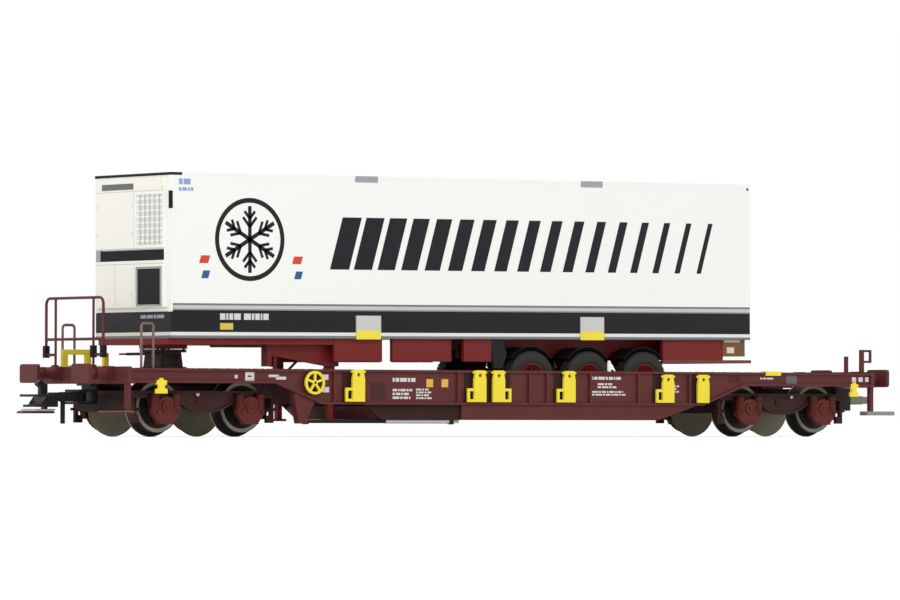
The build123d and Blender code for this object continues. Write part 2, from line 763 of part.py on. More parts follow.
def axlebox():
    """One far-side axlebox with a crowned top, its cover, and its two springs on a winged seat."""
    y0 = BOGIE_FRAME_OUT
    y1 = y0 + AXLEBOX_DEPTH
    half = AXLEBOX_WIDTH / 2
    seat_half = SPRING_OFFSET + SPRING_RADIUS
    seat_top = SPRING_SEAT_Z + SPRING_SEAT
    crown = [(half, AXLEBOX_TOP - AXLEBOX_CROWN), (0, AXLEBOX_TOP), (-half, AXLEBOX_TOP - AXLEBOX_CROWN)]
    outline = [crown[2], (-half, AXLEBOX_BOTTOM), (half, AXLEBOX_BOTTOM), crown[0]]
    wings = [
        (-seat_half, SPRING_SEAT_Z),
        (-half, AXLEBOX_BOTTOM),
        (half, AXLEBOX_BOTTOM),
        (seat_half, SPRING_SEAT_Z),
        (seat_half, seat_top),
        (-seat_half, seat_top),
    ]
    cover = Pos(0, WHEEL_Z) * RegularPolygon(AXLEBOX_COVER_RADIUS, AXLEBOX_COVER_SIDES)
    pieces = [
        across(make_face(Polyline(*outline) + ThreePointArc(*crown)), y0, y1),
        side_plate(wings, y0, y1),
        across(cover, y1, y1 + AXLEBOX_COVER_PROUD),
    ]
    for side in (-1, 1):
        start = (side * SPRING_OFFSET, y0 + SPRING_RADIUS, SPRING_SEAT_Z)
        end = (side * SPRING_OFFSET, y0 + SPRING_RADIUS, SPRING_TOP)
        pieces.append(wire(start, end, SPRING_RADIUS, SPRING_SIDES))
    return fused(pieces)


def buffer():
    """One right-end buffer at y = 0: base, tapered sleeve, plunger and rectangular head."""
    sleeve_end = FRAME_END_X + BUFFER_SLEEVE_LENGTH
    head_back = BUFFER_FACE_X - BUFFER_HEAD
    half_width = BUFFER_HEAD_WIDTH / 2
    half_height = BUFFER_HEAD_HEIGHT / 2
    head = slab(head_back, BUFFER_FACE_X, -half_width, half_width, -half_height, half_height)
    head = fillet(head.edges().filter_by(Axis.X), BUFFER_HEAD_CORNER)
    base_end = FRAME_END_X + BUFFER_BASE
    half_base = BUFFER_BASE_WIDTH / 2
    root = Plane.YZ.offset(base_end) * RegularPolygon(BUFFER_SLEEVE_RADIUS, BUFFER_SIDES)
    tip = Plane.YZ.offset(sleeve_end) * RegularPolygon(BUFFER_SLEEVE_TIP_RADIUS, BUFFER_SIDES)
    pieces = [
        slab(FRAME_END_X, base_end, -half_base, half_base, -BUFFER_BASE_HEIGHT / 2, BUFFER_BASE_HEIGHT / 2),
        loft([root, tip]),
        wire((sleeve_end, 0, 0), (head_back, 0, 0), BUFFER_PLUNGER_RADIUS, BUFFER_SIDES),
        head,
    ]
    return Pos(0, 0, BUFFER_Z) * fused(pieces)


def coupler_pocket():
    """The left coupler's pocket, drawn at the right end: two plates, a back wall and the pivot pin."""
    half = COUPLER_POCKET_WIDTH / 2
    reach = COUPLER_THICKNESS / 2 + POCKET_GAP + POCKET_PLATE
    low = COUPLER_Z - reach
    high = COUPLER_Z + reach
    back = SILL_END_X - POCKET_INSET + POCKET_WALL
    front = back - POCKET_WALL + POCKET_LENGTH
    start = back - POCKET_WALL
    seat = HEADSTOCK_BOTTOM - COUPLER_POCKET_TOP
    pin = Pos(FRAME_END_X + COUPLER_PIVOT, 0, COUPLER_Z) * Cylinder(COUPLER_PIN_RADIUS, high - low)
    return fused(
        [
            slab(start, front, -half, half, low, low + POCKET_PLATE),
            slab(start, front, -half, half, high - POCKET_PLATE, high),
            slab(start, back, -half, half, low, HEADSTOCK_BOTTOM),
            slab(start, FRAME_END_X, -half, half, seat, HEADSTOCK_BOTTOM),
            pin,
        ]
    )


def coupler():
    """The left end's loop coupler, drawn at the right end: eye, shank, head, loop, hook and trip pin."""
    low = COUPLER_Z - COUPLER_THICKNESS / 2
    high = COUPLER_Z + COUPLER_THICKNESS / 2
    half = COUPLER_WIDTH / 2
    pivot = FRAME_END_X + COUPLER_PIVOT
    head = FRAME_END_X + COUPLER_HEAD
    tip = FRAME_END_X + COUPLER_TIP
    head_half = COUPLER_HEAD_WIDTH / 2
    head_low = low - COUPLER_HEAD_DEPTH
    bow_low = COUPLER_Z
    bow_top = bow_low + COUPLER_BOW_THICKNESS
    lip_end = head + COUPLER_HEAD_LENGTH + COUPLER_LIP
    head_profile = [
        (head, bow_low),
        (head, head_low),
        (lip_end, head_low),
        (lip_end, head_low + COUPLER_LIP_THICKNESS),
        (head + COUPLER_HEAD_LENGTH, head_low + COUPLER_LIP_THICKNESS),
        (head + COUPLER_HEAD_LENGTH - COUPLER_LIP, bow_low),
    ]
    hook = FRAME_END_X + COUPLER_HOOK
    hook_end = hook + COUPLER_HOOK_LENGTH
    hook_top = high + COUPLER_HOOK_RISE
    hook_profile = [
        (hook, bow_low - COUPLER_BOW_THICKNESS),
        (hook_end, bow_low - COUPLER_BOW_THICKNESS),
        (hook_end, high + COUPLER_HOOK_NOSE),
        (hook_end + COUPLER_HOOK_NOSE, hook_top - COUPLER_HOOK_NOSE),
        (hook_end, hook_top),
        (hook, hook_top - COUPLER_HOOK_NOSE),
    ]
    bow_out = slab(head, tip, -COUPLER_BOW_WIDTH / 2, COUPLER_BOW_WIDTH / 2, bow_low, bow_top)
    bow_out = chamfer(bow_out.edges().filter_by(Axis.Z).sort_by(Axis.X)[-2:], COUPLER_BOW_CORNER)
    inside = COUPLER_BOW_WIDTH / 2 - COUPLER_BOW_BAR
    bow_in = slab(head + COUPLER_BOW_BAR, tip - COUPLER_BOW_BAR, -inside, inside, bow_low, bow_top)
    corner = COUPLER_BOW_CORNER - COUPLER_BOW_BAR / 2
    bow_in = chamfer(bow_in.edges().filter_by(Axis.Z).sort_by(Axis.X)[-2:], corner)
    trip = FRAME_END_X + TRIP_PIN
    pieces = [
        Pos(pivot, 0, COUPLER_Z) * Cylinder(half, COUPLER_THICKNESS),
        slab(pivot, head, -half, half, low, high),
        side_plate(head_profile, -head_half, head_half),
        bow_out - bow_in,
        side_plate(hook_profile, -COUPLER_HOOK_WIDTH / 2, COUPLER_HOOK_WIDTH / 2),
        wire((trip, 0, TRIP_PIN_BOTTOM), (trip, 0, COUPLER_Z), TRIP_PIN_RADIUS, TRIP_PIN_SIDES),
    ]
    return fused(pieces) - Pos(pivot, 0, COUPLER_Z) * Cylinder(
        COUPLER_PIN_RADIUS + COUPLER_CLEARANCE, COUPLER_THICKNESS
    )


def right_pocket():
    """The right end's coupling pocket: a deep block with a short shank stub and no head."""
    start = FRAME_END_X - BLOCK_INSET
    end = FRAME_END_X + BLOCK_LENGTH
    half = BLOCK_WIDTH / 2
    block = slab(start, end, -half, half, BLOCK_BOTTOM, HEADSTOCK_BOTTOM)
    block = chamfer(block.edges().filter_by(Axis.Z), BLOCK_CHAMFER)
    stub = slab(end, end + STUB_LENGTH, -STUB_WIDTH / 2, STUB_WIDTH / 2, STUB_BOTTOM, STUB_TOP)
    return fused([block, stub])


def sill_lug(share, loop_side, drop):
    """One folded-down lug on the far sill, with its eye and its pull loop."""
    x = share * BELLY_INNER_X
    top = DECK_TOP - drop
    y0 = HALF_WIDTH
    y1 = HALF_WIDTH + LUG_THICKNESS
    half = LUG_WIDTH / 2
    half_top = LUG_TOP_WIDTH / 2
    outline = [
        (x - half, LUG_BOTTOM),
        (x + half, LUG_BOTTOM),
        (x + half, top - LUG_TAPER),
        (x + half_top, top),
        (x - half_top, top),
        (x - half, top - LUG_TAPER),
    ]
    plate = side_plate(outline, y0, y1)
    eye = across(Pos(x, top - LUG_EYE_DROP) * RegularPolygon(LUG_EYE_RADIUS, LUG_EYE_SIDES), y0, y1)
    pieces = [plate - eye]
    if loop_side:
        edge = x + loop_side * half
        end = edge + loop_side * LUG_LOOP_LENGTH
        loop_top = LUG_BOTTOM + LUG_LOOP_HEIGHT
        loop = slab(edge, end, y0 + LUG_LOOP_INSET, y1 - LUG_LOOP_INSET, LUG_BOTTOM, loop_top)
        hole = slab(
            edge,
            end - loop_side * LUG_LOOP_BAR,
            y0,
            y1,
            LUG_BOTTOM + LUG_LOOP_BAR,
            loop_top - LUG_LOOP_BAR,
        )
        pieces.append(loop - hole)
    return fused(pieces)


def spigot_down(x, side):
    """A deck spigot folded down behind the sill: a wide head on a narrow neck."""
    half = SPIGOT_DOWN_LENGTH / 2
    neck = half - SPIGOT_NECK
    middle = (SPIGOT_DOWN_BOTTOM + SILL_END_BOTTOM) / 2
    outline = [
        (x - half, SPIGOT_DOWN_BOTTOM),
        (x + half, SPIGOT_DOWN_BOTTOM),
        (x + half, middle),
        (x + neck, middle),
        (x + neck, SILL_END_BOTTOM),
        (x - neck, SILL_END_BOTTOM),
        (x - neck, middle),
        (x - half, middle),
    ]
    ends = sorted([side * WEB_IN, side * (WEB_IN + SPIGOT_DOWN_THICKNESS)])
    return side_plate(outline, *ends)


def spigot_up(x, side):
    """A deck spigot stood up: an upright frame."""
    half = SPIGOT_UP_LENGTH / 2
    y1 = side * (HALF_WIDTH - SPIGOT_UP_INSET)
    y0 = y1 + side * SPIGOT_UP_THICKNESS
    opening = half - SPIGOT_UP_BAR
    frame = slab(x - half, x + half, y0, y1, DECK_TOP, SPIGOT_UP_TOP)
    window_low = DECK_TOP + SPIGOT_UP_SILL
    window = slab(x - opening, x + opening, y0, y1, window_low, SPIGOT_UP_TOP - SPIGOT_UP_HEAD)
    return frame - window


def spigot_flat(x, side):
    """A deck spigot laid flat on the deck."""
    half = SPIGOT_FLAT_LENGTH / 2
    y1 = side * (HALF_WIDTH - SPIGOT_FLAT_INSET)
    y0 = y1 - side * SPIGOT_FLAT_WIDTH
    return slab(x - half, x + half, y0, y1, DECK_TOP, DECK_TOP + SPIGOT_FLAT_THICKNESS)


def deck_spigots():
    """The four spigots of the end decks, each folded as it stands under this trailer."""
    return [
        spigot_down(SPIGOT_LEFT_NEAR - FRAME_END_X, -1),
        spigot_down(FRAME_END_X - SPIGOT_RIGHT_NEAR, -1),
        spigot_up(SPIGOT_LEFT_FAR - FRAME_END_X, 1),
        spigot_flat(FRAME_END_X - SPIGOT_RIGHT_FAR, 1),
    ]


def handwheel():
    """The far handwheel: rim, spokes, and the hub on its spindle at the sill's web."""
    x = -BELLY_INNER_X - HANDWHEEL_OUTBOARD
    y0 = HALF_WIDTH + HANDWHEEL_STAND_OFF
    y1 = y0 + HANDWHEEL_THICKNESS
    ring = RegularPolygon(HANDWHEEL_RADIUS, HANDWHEEL_SIDES) - RegularPolygon(
        HANDWHEEL_RADIUS - HANDWHEEL_RIM, HANDWHEEL_SIDES
    )
    pieces = [
        across(Pos(x, HANDWHEEL_Z) * ring, y0, y1),
        across(Pos(x, HANDWHEEL_Z) * RegularPolygon(HANDWHEEL_HUB_RADIUS, WIRE_SIDES), WEB_OUT, y1),
    ]
    length = HANDWHEEL_RADIUS - HANDWHEEL_RIM / 2
    spoke = Pos(length / 2, 0) * Rectangle(length, HANDWHEEL_SPOKE_WIDTH)
    for number in range(HANDWHEEL_SPOKES):
        angle = 90 + number * 360 / HANDWHEEL_SPOKES
        pieces.append(across(Pos(x, HANDWHEEL_Z) * Rot(0, 0, angle) * spoke, y0, y1))
    return fused(pieces)


def railing():
    """The handrail frame at the left end: a hoop, two posts on the headstock, rails and clamp blocks."""
    y3 = HALF_WIDTH - RAILING_SIDE_INSET
    y2 = y3 - RAILING_FAR_BAY
    y0 = y3 - RAILING_WIDTH
    y1 = y0 + RAILING_NEAR_BAY
    x = RAILING_INSET - FRAME_END_X
    hoop = FilletPolyline(
        (x, y0, RAILING_LOW),
        (x, y0, RAILING_TOP),
        (x, y3, RAILING_TOP),
        (x, y3, RAILING_LOW),
        radius=RAILING_CORNER,
    )
    pieces = [bent_wire(hoop), wire((x, y0, RAILING_MID), (x, y3, RAILING_MID))]
    for y in (y1, y2):
        pieces.append(wire((x, y, HEADSTOCK_TOP), (x, y, RAILING_TOP)))
    for ya, yb in ((y0, y1), (y2, y3)):
        pieces.append(wire((x, ya, RAILING_LOW), (x, yb, RAILING_LOW)))
    half = CLAMP_SIZE / 2
    clamp_low = RAILING_LOW - CLAMP_BELOW
    for y in (y0, y1, y3):
        pieces.append(slab(x - half, x + half, y - half, y + half, clamp_low, RAILING_LOW + CLAMP_ABOVE))
    return fused(pieces)


def grab_hoop():
    """The far grab hoop on the left deck."""
    x = HOOP_INSET - FRAME_END_X
    y = HALF_WIDTH - HOOP_SIDE_INSET
    half = HOOP_WIDTH / 2
    return bent_wire(
        FilletPolyline(
            (x - half, y, DECK_TOP),
            (x - half, y, HOOP_TOP),
            (x + half, y, HOOP_TOP),
            (x + half, y, DECK_TOP),
            radius=HOOP_CORNER,
        )
    )


def lamp_fittings():
    """The near lamp bracket with its loop, and the pin beside it, on the right deck."""
    y = FITTING_SIDE_INSET - HALF_WIDTH
    post = FRAME_END_X - LAMP_POST_INSET
    post_end = post + LAMP_POST
    loop_end = post_end + LAMP_LOOP_LENGTH
    loop_low = LAMP_POST_TOP - LAMP_LOOP_HEIGHT
    half_post = LAMP_POST_WIDTH / 2
    half_loop = LAMP_LOOP_WIDTH / 2
    loop = slab(post_end, loop_end, y - half_loop, y + half_loop, loop_low, LAMP_POST_TOP)
    hole = slab(
        post_end,
        loop_end - LAMP_LOOP_BAR,
        y - half_loop,
        y + half_loop,
        loop_low + LAMP_LOOP_BAR,
        LAMP_POST_TOP - LAMP_LOOP_BAR,
    )
    pin = FRAME_END_X - LAMP_PIN_INSET
    half_pin = LAMP_PIN_WIDTH / 2
    return [
        slab(post, post_end, y - half_post, y + half_post, DECK_TOP, LAMP_POST_TOP) + (loop - hole),
        slab(pin - half_pin, pin + half_pin, y - half_pin, y + half_pin, DECK_TOP, LAMP_PIN_TOP),
    ]


def corner_step():
    """The far right corner's step: a post under the headstock and its board."""
    post_out = HALF_WIDTH - STEP_POST_INSET
    board_out = HALF_WIDTH - STEP_SIDE_INSET
    return fused(
        [
            slab(SILL_END_X, FRAME_END_X, post_out - STEP_POST_WIDTH, post_out, STEP_Z, HEADSTOCK_BOTTOM),
            slab(
                FRAME_END_X - STEP_INBOARD,
                FRAME_END_X + STEP_REACH,
                board_out - STEP_WIDTH,
                board_out,
                STEP_Z - STEP_THICKNESS,
                STEP_Z,
            ),
        ]
    )


def brake_gear():
    """The tapered bracket that hangs under the near fish belly, and the rod that runs from it."""
    start = -BELLY_INNER_X - ROD_START
    rod_y = ROD_INSET - HALF_WIDTH
    bracket = side_plate(
        [
            (-BELLY_INNER_X - BRACKET_TOP_OUTER, belly_z(BELLY_INNER_X + BRACKET_TOP_OUTER)),
            (-BELLY_INNER_X - BRACKET_FOOT, BRACKET_BOTTOM),
            (start, BRACKET_BOTTOM),
            (start, ROD_Z + BRACKET_EYE),
            (-BELLY_INNER_X - BRACKET_TOP_INNER, belly_z(BELLY_INNER_X + BRACKET_TOP_INNER)),
        ],
        -WEB_OUT,
        rod_y + BRACKET_DEPTH,
    )
    half = ROD_WIDTH / 2
    rod = slab(start, SKIRT_LEFT_X, rod_y - half, rod_y + half, ROD_Z - half, ROD_Z + half)
    return bracket, chamfer(rod.edges().filter_by(Axis.X), half / 2)


def hitch():
    """The hitch's tapered pedestal with its release lever, and the top plate with the kingpin's throat."""
    x = HITCH_X
    half = PEDESTAL_LENGTH / 2
    half_width = PEDESTAL_WIDTH / 2
    plate_low = HITCH_TOP - HITCH_PLATE
    top_half = half - PEDESTAL_TAPER
    body = side_plate(
        [(x - half, DECK_TOP), (x + half, DECK_TOP), (x + top_half, plate_low), (x - top_half, plate_low)],
        -half_width,
        half_width,
    )
    hollow = slab(
        x - PEDESTAL_HOLLOW / 2,
        x + PEDESTAL_HOLLOW / 2,
        -half_width,
        half_width,
        DECK_TOP + PEDESTAL_FOOT,
        plate_low - PEDESTAL_CAP,
    )
    lever_z = plate_low - PEDESTAL_CAP / 2
    lever_x = x - LEVER_OFFSET
    root = half_width - LEVER_ROOT
    lever = wire((lever_x, root, lever_z), (lever_x, half_width + LEVER_REACH, lever_z), LEVER_WIDTH / 2)
    plate = slab(
        x - HITCH_PLATE_LENGTH / 2,
        x + HITCH_PLATE_LENGTH / 2,
        -HITCH_PLATE_WIDTH / 2,
        HITCH_PLATE_WIDTH / 2,
        plate_low,
        HITCH_TOP,
    )
    plate = chamfer(plate.edges().filter_by(Axis.Z), HITCH_PLATE_CORNER)
    throat = KINGPIN_RADIUS + KINGPIN_CLEARANCE
    mouth = slab(x, x + HITCH_PLATE_LENGTH, -throat, throat, plate_low, HITCH_TOP)
    seat = Pos(x, 0, (plate_low + HITCH_TOP) / 2) * Cylinder(throat, HITCH_PLATE)
    return fused([body - hollow, lever]), plate - mouth - seat


def axle_x(number):
    """Middle of axle 1, 2 or 3 in the trailer's frame."""
    return FIRST_AXLE_X - TRAILER_MID_X + (number - 1) * AXLE_SPACING


def axle_z(x):
    """Height of the axle at x in the trailer's frame, where its tyres stand on the pocket's floor."""
    height = POCKET_FLOOR_TOP + TYRE_GAP + TYRE_RADIUS - TRAILER_RAIL_Z
    tilt = math.radians(TRAILER_TILT)
    return (height - x * math.sin(tilt)) / math.cos(tilt)


def trailer_place(piece):
    """Moves a piece from the trailer's frame to where the loaded trailer lies, nose a little low."""
    return Pos(TRAILER_MID_X, 0, TRAILER_RAIL_Z) * Rot(0, -TRAILER_TILT, 0) * piece


def trailer_box():
    """The hollow box body, panel by panel, as a table of node names and solids."""
    rear = T_END - REAR_FRAME_LENGTH
    door_x = T_END - DOOR_INSET
    post_in = T_SIDE - REAR_POST
    sill_top = FLOOR + REAR_SILL
    header_low = WALL_TOP - REAR_HEADER
    rail = slab(-T_END, T_END, T_IN, T_SIDE + RAIL_PROUD, 0, FLOOR)
    wall = slab(-T_END + WALL, rear, T_IN, T_SIDE, FLOOR, WALL_TOP)
    frame = slab(rear, T_END, -T_SIDE, T_SIDE, FLOOR, WALL_TOP)
    opening = slab(rear, T_END, -post_in, post_in, sill_top, header_low)
    door = slab(door_x - DOOR_THICKNESS, door_x, DOOR_GAP / 2, post_in, sill_top, header_low)
    return {
        "box_floor": [slab(-T_END, T_END, -T_IN, T_IN, 0, FLOOR)],
        "box_bottom_rails": both_sides(rail),
        "box_wall_far": [wall],
        "box_wall_near": [mirror(wall, about=Plane.XZ)],
        "box_front_wall": [slab(-T_END, -T_END + WALL, -T_SIDE, T_SIDE, FLOOR, WALL_TOP)],
        "box_roof": [slab(-T_END, T_END, -T_SIDE, T_SIDE, WALL_TOP, TRAILER_HEIGHT)],
        "box_rear_frame": [frame - opening],
        "box_door_far": [door],
        "box_door_near": [mirror(door, about=Plane.XZ)],
    }


def refrigeration_unit():
    """The unit's housing on the front wall with its recesses, and the slatted grille in its own recess."""
    front = -T_END - UNIT_DEPTH
    back = front + UNIT_RECESS
    half = T_SIDE - UNIT_SIDE_INSET
    edge = half - UNIT_RECESS_INSET
    top = TRAILER_HEIGHT
    housing = slab(front, -T_END, -half, half, UNIT_BOTTOM, top - UNIT_TOP_INSET)
    housing = chamfer(housing.edges().filter_by(Axis.Z).sort_by(Axis.X)[:2], UNIT_CORNER)
    grille_z0 = top - GRILLE_BOTTOM
    grille_z1 = top - GRILLE_TOP
    for y0, y1, z0, z1 in (
        (-edge, -GRILLE_SIDE, grille_z0, grille_z1),
        (-edge, edge, top - SLOT_BOTTOM, top - SLOT_TOP),
        (-edge + PANEL_INSET, -GRILLE_SIDE, PANEL_BOTTOM, top - PANEL_TOP),
    ):
        housing = housing - slab(front, back, y0, y1, z0, z1)
    bar = GRILLE_BAR
    whole = slab(front, back, -edge, -GRILLE_SIDE, grille_z0, grille_z1)
    window = slab(front, back, -edge + bar, -GRILLE_SIDE - bar, grille_z0 + bar, grille_z1 - bar)
    pieces = [whole - window]
    pitch = (grille_z1 - grille_z0) / GRILLE_SLATS
    for number in range(1, GRILLE_SLATS):
        z = grille_z0 + number * pitch
        slat_front = front + GRILLE_SLAT_INSET
        pieces.append(slab(slat_front, back, -edge, -GRILLE_SIDE, z - bar / 2, z + bar / 2))
    return housing, fused(pieces)


def lift_plates():
    """The four grapple plates outside the bottom rails."""
    pieces = []
    y0 = T_SIDE + RAIL_PROUD
    half = LIFT_PLATE_WIDTH / 2
    for share in LIFT_PLATE_SHARES:
        x = share * T_END
        outer = slab(x - half, x + half, y0, y0 + LIFT_PLATE_PROUD, -LIFT_PLATE_LIP, LIFT_PLATE_TOP)
        back = slab(x - half, x + half, T_SIDE, y0, FLOOR, LIFT_PLATE_TOP)
        pieces += both_sides(outer + back)
    return pieces


def neck_frame():
    """The neck: side rails, cross members, and the plate with the shoe and the kingpin below it."""
    side_y = T_SIDE - NECK_SIDE_INSET
    rear = panel_spans()[0][0]
    half_cross = CROSS_WIDTH / 2
    half_plate = KINGPIN_PLATE_LENGTH / 2
    pieces = [
        slab(
            KINGPIN_X - half_plate,
            KINGPIN_X + half_plate,
            -KINGPIN_PLATE_WIDTH / 2,
            KINGPIN_PLATE_WIDTH / 2,
            -NECK_DEPTH,
            0,
        ),
        slab(-T_END, -T_END + NECK_HEAD, -side_y, side_y, -NECK_DEPTH, 0),
    ]
    pieces += both_sides(slab(-T_END, rear, side_y - NECK_RAIL, side_y, -NECK_DEPTH, 0))
    for number in range(NECK_CROSSES + 1):
        x = KINGPIN_X + number * (rear - half_cross - KINGPIN_X) / NECK_CROSSES
        pieces.append(slab(x - half_cross, x + half_cross, -side_y, side_y, -NECK_DEPTH, 0))
    seat = HITCH_TOP + SEAT_GAP - TRAILER_RAIL_Z
    shoe_low = seat - KINGPIN_X * math.sin(math.radians(TRAILER_TILT))
    shoe = slab(
        KINGPIN_X - SHOE_LENGTH / 2,
        KINGPIN_X + SHOE_LENGTH / 2,
        -SHOE_WIDTH / 2,
        SHOE_WIDTH / 2,
        shoe_low,
        -NECK_DEPTH,
    )
    pin_low = shoe_low - HITCH_PLATE
    pin = Pos(KINGPIN_X, 0, (pin_low + shoe_low) / 2) * Cylinder(KINGPIN_RADIUS, HITCH_PLATE)
    return fused(pieces + [shoe, pin])


def landing_gear():
    """The bulkhead and tapered cheeks behind the neck, and the two legs let down with their feet."""
    leg_y = T_SIDE - LEG_SIDE_INSET
    cheek_in = leg_y + LEG_SIZE / 2
    cheek_out = cheek_in + CHEEK
    cheek = side_plate(
        [
            (BULKHEAD_X, -NECK_DEPTH),
            (BULKHEAD_X, -BULKHEAD_DEPTH),
            (BULKHEAD_X + BULKHEAD, -BULKHEAD_DEPTH),
            (BULKHEAD_X + BULKHEAD, -CHEEK_RISE),
            (LEG_X - CHEEK_FRONT, -BULKHEAD_DEPTH),
            (LEG_X + CHEEK_REAR, -BULKHEAD_DEPTH),
            (LEG_X + CHEEK_REAR, -NECK_DEPTH),
        ],
        cheek_in,
        cheek_out,
    )
    half = LEG_SIZE / 2
    inner = LEG_INNER / 2
    frame = fused(
        [
            slab(BULKHEAD_X, BULKHEAD_X + BULKHEAD, -cheek_out, cheek_out, -BULKHEAD_DEPTH, -NECK_DEPTH),
            slab(
                LEG_X - CROSS_WIDTH / 2,
                LEG_X + CROSS_WIDTH / 2,
                -cheek_out,
                cheek_out,
                -CHEEK_CROSS_DEPTH,
                -NECK_DEPTH,
            ),
        ]
        + both_sides(cheek)
    )
    leg = fused(
        [
            slab(LEG_X - half, LEG_X + half, leg_y - half, leg_y + half, -LEG_SLEEVE, -CHEEK_CROSS_DEPTH),
            slab(LEG_X - inner, LEG_X + inner, leg_y - inner, leg_y + inner, -LEG_BOTTOM, -LEG_SLEEVE),
            slab(
                LEG_X - LEG_FOOT_LENGTH / 2,
                LEG_X + LEG_FOOT_LENGTH / 2,
                leg_y - LEG_FOOT_WIDTH / 2,
                leg_y + LEG_FOOT_WIDTH / 2,
                -LEG_BOTTOM,
                -LEG_BOTTOM + LEG_FOOT,
            ),
        ]
    )
    return frame, both_sides(leg)


def panel_spans():
    """First x, last x and depth of the side panels under the box, in the trailer's frame."""
    room = axle_x(1) - FLAP_START - LEG_X
    front_end = LEG_X + FRONT_PANEL_END_SHARE * room
    middle_start = LEG_X + MIDDLE_PANEL_START_SHARE * room
    middle_end = LEG_X + MIDDLE_PANEL_END_SHARE * room
    return [
        (LEG_X - FRONT_PANEL_START, front_end, SIDE_PANEL_DEPTH),
        (middle_start, middle_end, SIDE_PANEL_DEPTH),
        (axle_x(3) + REAR_PANEL_START, T_END - REAR_PANEL_END, REAR_PANEL_DEPTH),
    ]


def side_panels():
    """The red panels that hang under the box's edges."""
    out = T_SIDE - PANEL_SIDE_INSET
    pieces = []
    for x0, x1, depth in panel_spans():
        pieces += both_sides(slab(x0, x1, out - SIDE_PANEL, out, -depth, 0))
    return pieces


def axle_frame():
    """The beams over the axles, with cross members and the hangers that carry the shafts."""
    x0 = axle_x(1) - AXLE_BEAM_START
    x1 = T_END - REAR_PANEL_END
    out = AXLE_BEAM_Y + AXLE_BEAM
    half_cross = CROSS_WIDTH / 2
    half = [slab(x0, x1, AXLE_BEAM_Y, out, -AXLE_BEAM_DEPTH, 0)]
    crosses = [x0 + half_cross, x1 - half_cross]
    for number in (1, 2, 3):
        x = axle_x(number)
        foot = axle_z(x) - HANGER_DROP
        top = HANGER_LAP - AXLE_BEAM_DEPTH
        outline = [
            (x - HANGER_TOP_HALF, top),
            (x - HANGER_FOOT_HALF, foot),
            (x + HANGER_FOOT_HALF, foot),
            (x + HANGER_TOP_HALF, top),
        ]
        half.append(side_plate(outline, AXLE_BEAM_Y, out))
        crosses.append(x + AXLE_SPACING / 2)
    pieces = both_sides(fused(half))
    for x in crosses:
        pieces.append(slab(x - half_cross, x + half_cross, -AXLE_BEAM_Y, AXLE_BEAM_Y, -AXLE_CROSS_DEPTH, 0))
    frame = fused(pieces)
    for number in (1, 2, 3):
        x = axle_x(number)
        frame = frame - bore(x, axle_z(x), SHAFT_RADIUS + SHAFT_CLEARANCE, -out, out)
    return frame


def mudguards():
    """The far mudguards: an arch over each tyre, carried by the axle beam, and a flap before the first."""
    y0 = AXLE_BEAM_Y + AXLE_BEAM
    y1 = T_SIDE - PANEL_SIDE_INSET
    inner = TYRE_RADIUS + ARCH_GAP
    outer = inner + ARCH_THICKNESS
    pieces = []
    for number in (1, 2, 3):
        x = axle_x(number)
        z = axle_z(x)
        arcs = []
        for radius in (inner, outer):
            arcs.append(
                [
                    (x + radius * math.sin(math.radians(a)), z + radius * math.cos(math.radians(a)))
                    for a in (-ARCH_REACH, 0, ARCH_REACH)
                ]
            )
        low, high = arcs
        edges = ThreePointArc(*low) + Line(low[2], high[2])
        edges += ThreePointArc(*high) + Line(high[0], low[0])
        pieces.append(across(make_face(edges), y0, y1))
    first = axle_x(1)
    flap = [
        (first - FLAP_START, 0),
        (first - FLAP_START, -FLAP_DEPTH),
        (first - FLAP_FOOT_END, -FLAP_DEPTH),
        (first - FLAP_TOP_END, 0),
    ]
    pieces.append(side_plate(flap, T_SIDE - LEG_SIDE_INSET, y1))
    return pieces


def road_wheels():
    """A shaft with the dished rims of both wheels, and the two tyres, about Y at the origin."""
    face_y = T_SIDE - TYRE_SIDE_INSET
    rim_out = face_y - RIM_INSET
    rim_in = rim_out - RIM_WIDTH
    tyre_in = face_y - TYRE_WIDTH
    half = [
        (0, rim_in),
        (RIM_RADIUS, rim_in),
        (RIM_RADIUS, rim_out),
        (HUB_RADIUS, rim_out - RIM_DISH),
        (0, rim_out - RIM_DISH),
    ]
    side = revolve(make_face(Polyline(*half, close=True)), Axis.Y)
    shaft = Rot(90, 0, 0) * Cylinder(SHAFT_RADIUS, 2 * rim_in)
    tread = [
        (RIM_RADIUS, tyre_in),
        (TYRE_RADIUS, tyre_in),
        (TYRE_RADIUS, face_y - TYRE_SHOULDER),
        (TYRE_RADIUS - TYRE_SHOULDER, face_y),
        (RIM_RADIUS, face_y),
    ]
    tyre = revolve(make_face(Polyline(*tread, close=True)), Axis.Y)
    return fused([shaft] + both_sides(side)), both_sides(tyre)


def rear_gear():
    """The rear underrun bar with its side rails, and the lamp blocks."""
    out = T_SIDE - PANEL_SIDE_INSET
    start = panel_spans()[2][0]
    end = T_END + UNDERRUN_REACH
    bar = fused(
        [slab(end - UNDERRUN_BAR, end, -out, out, -UNDERRUN_BOTTOM, -UNDERRUN_TOP)]
        + both_sides(slab(start, end, out - UNDERRUN_RAIL, out, -UNDERRUN_BOTTOM, -UNDERRUN_TOP))
    )
    lamp_start = panel_spans()[2][1]
    lamp = slab(lamp_start, lamp_start + LAMP_LENGTH, out - LAMP_WIDTH, out, -LAMP_DEPTH, 0)
    return bar, both_sides(lamp)


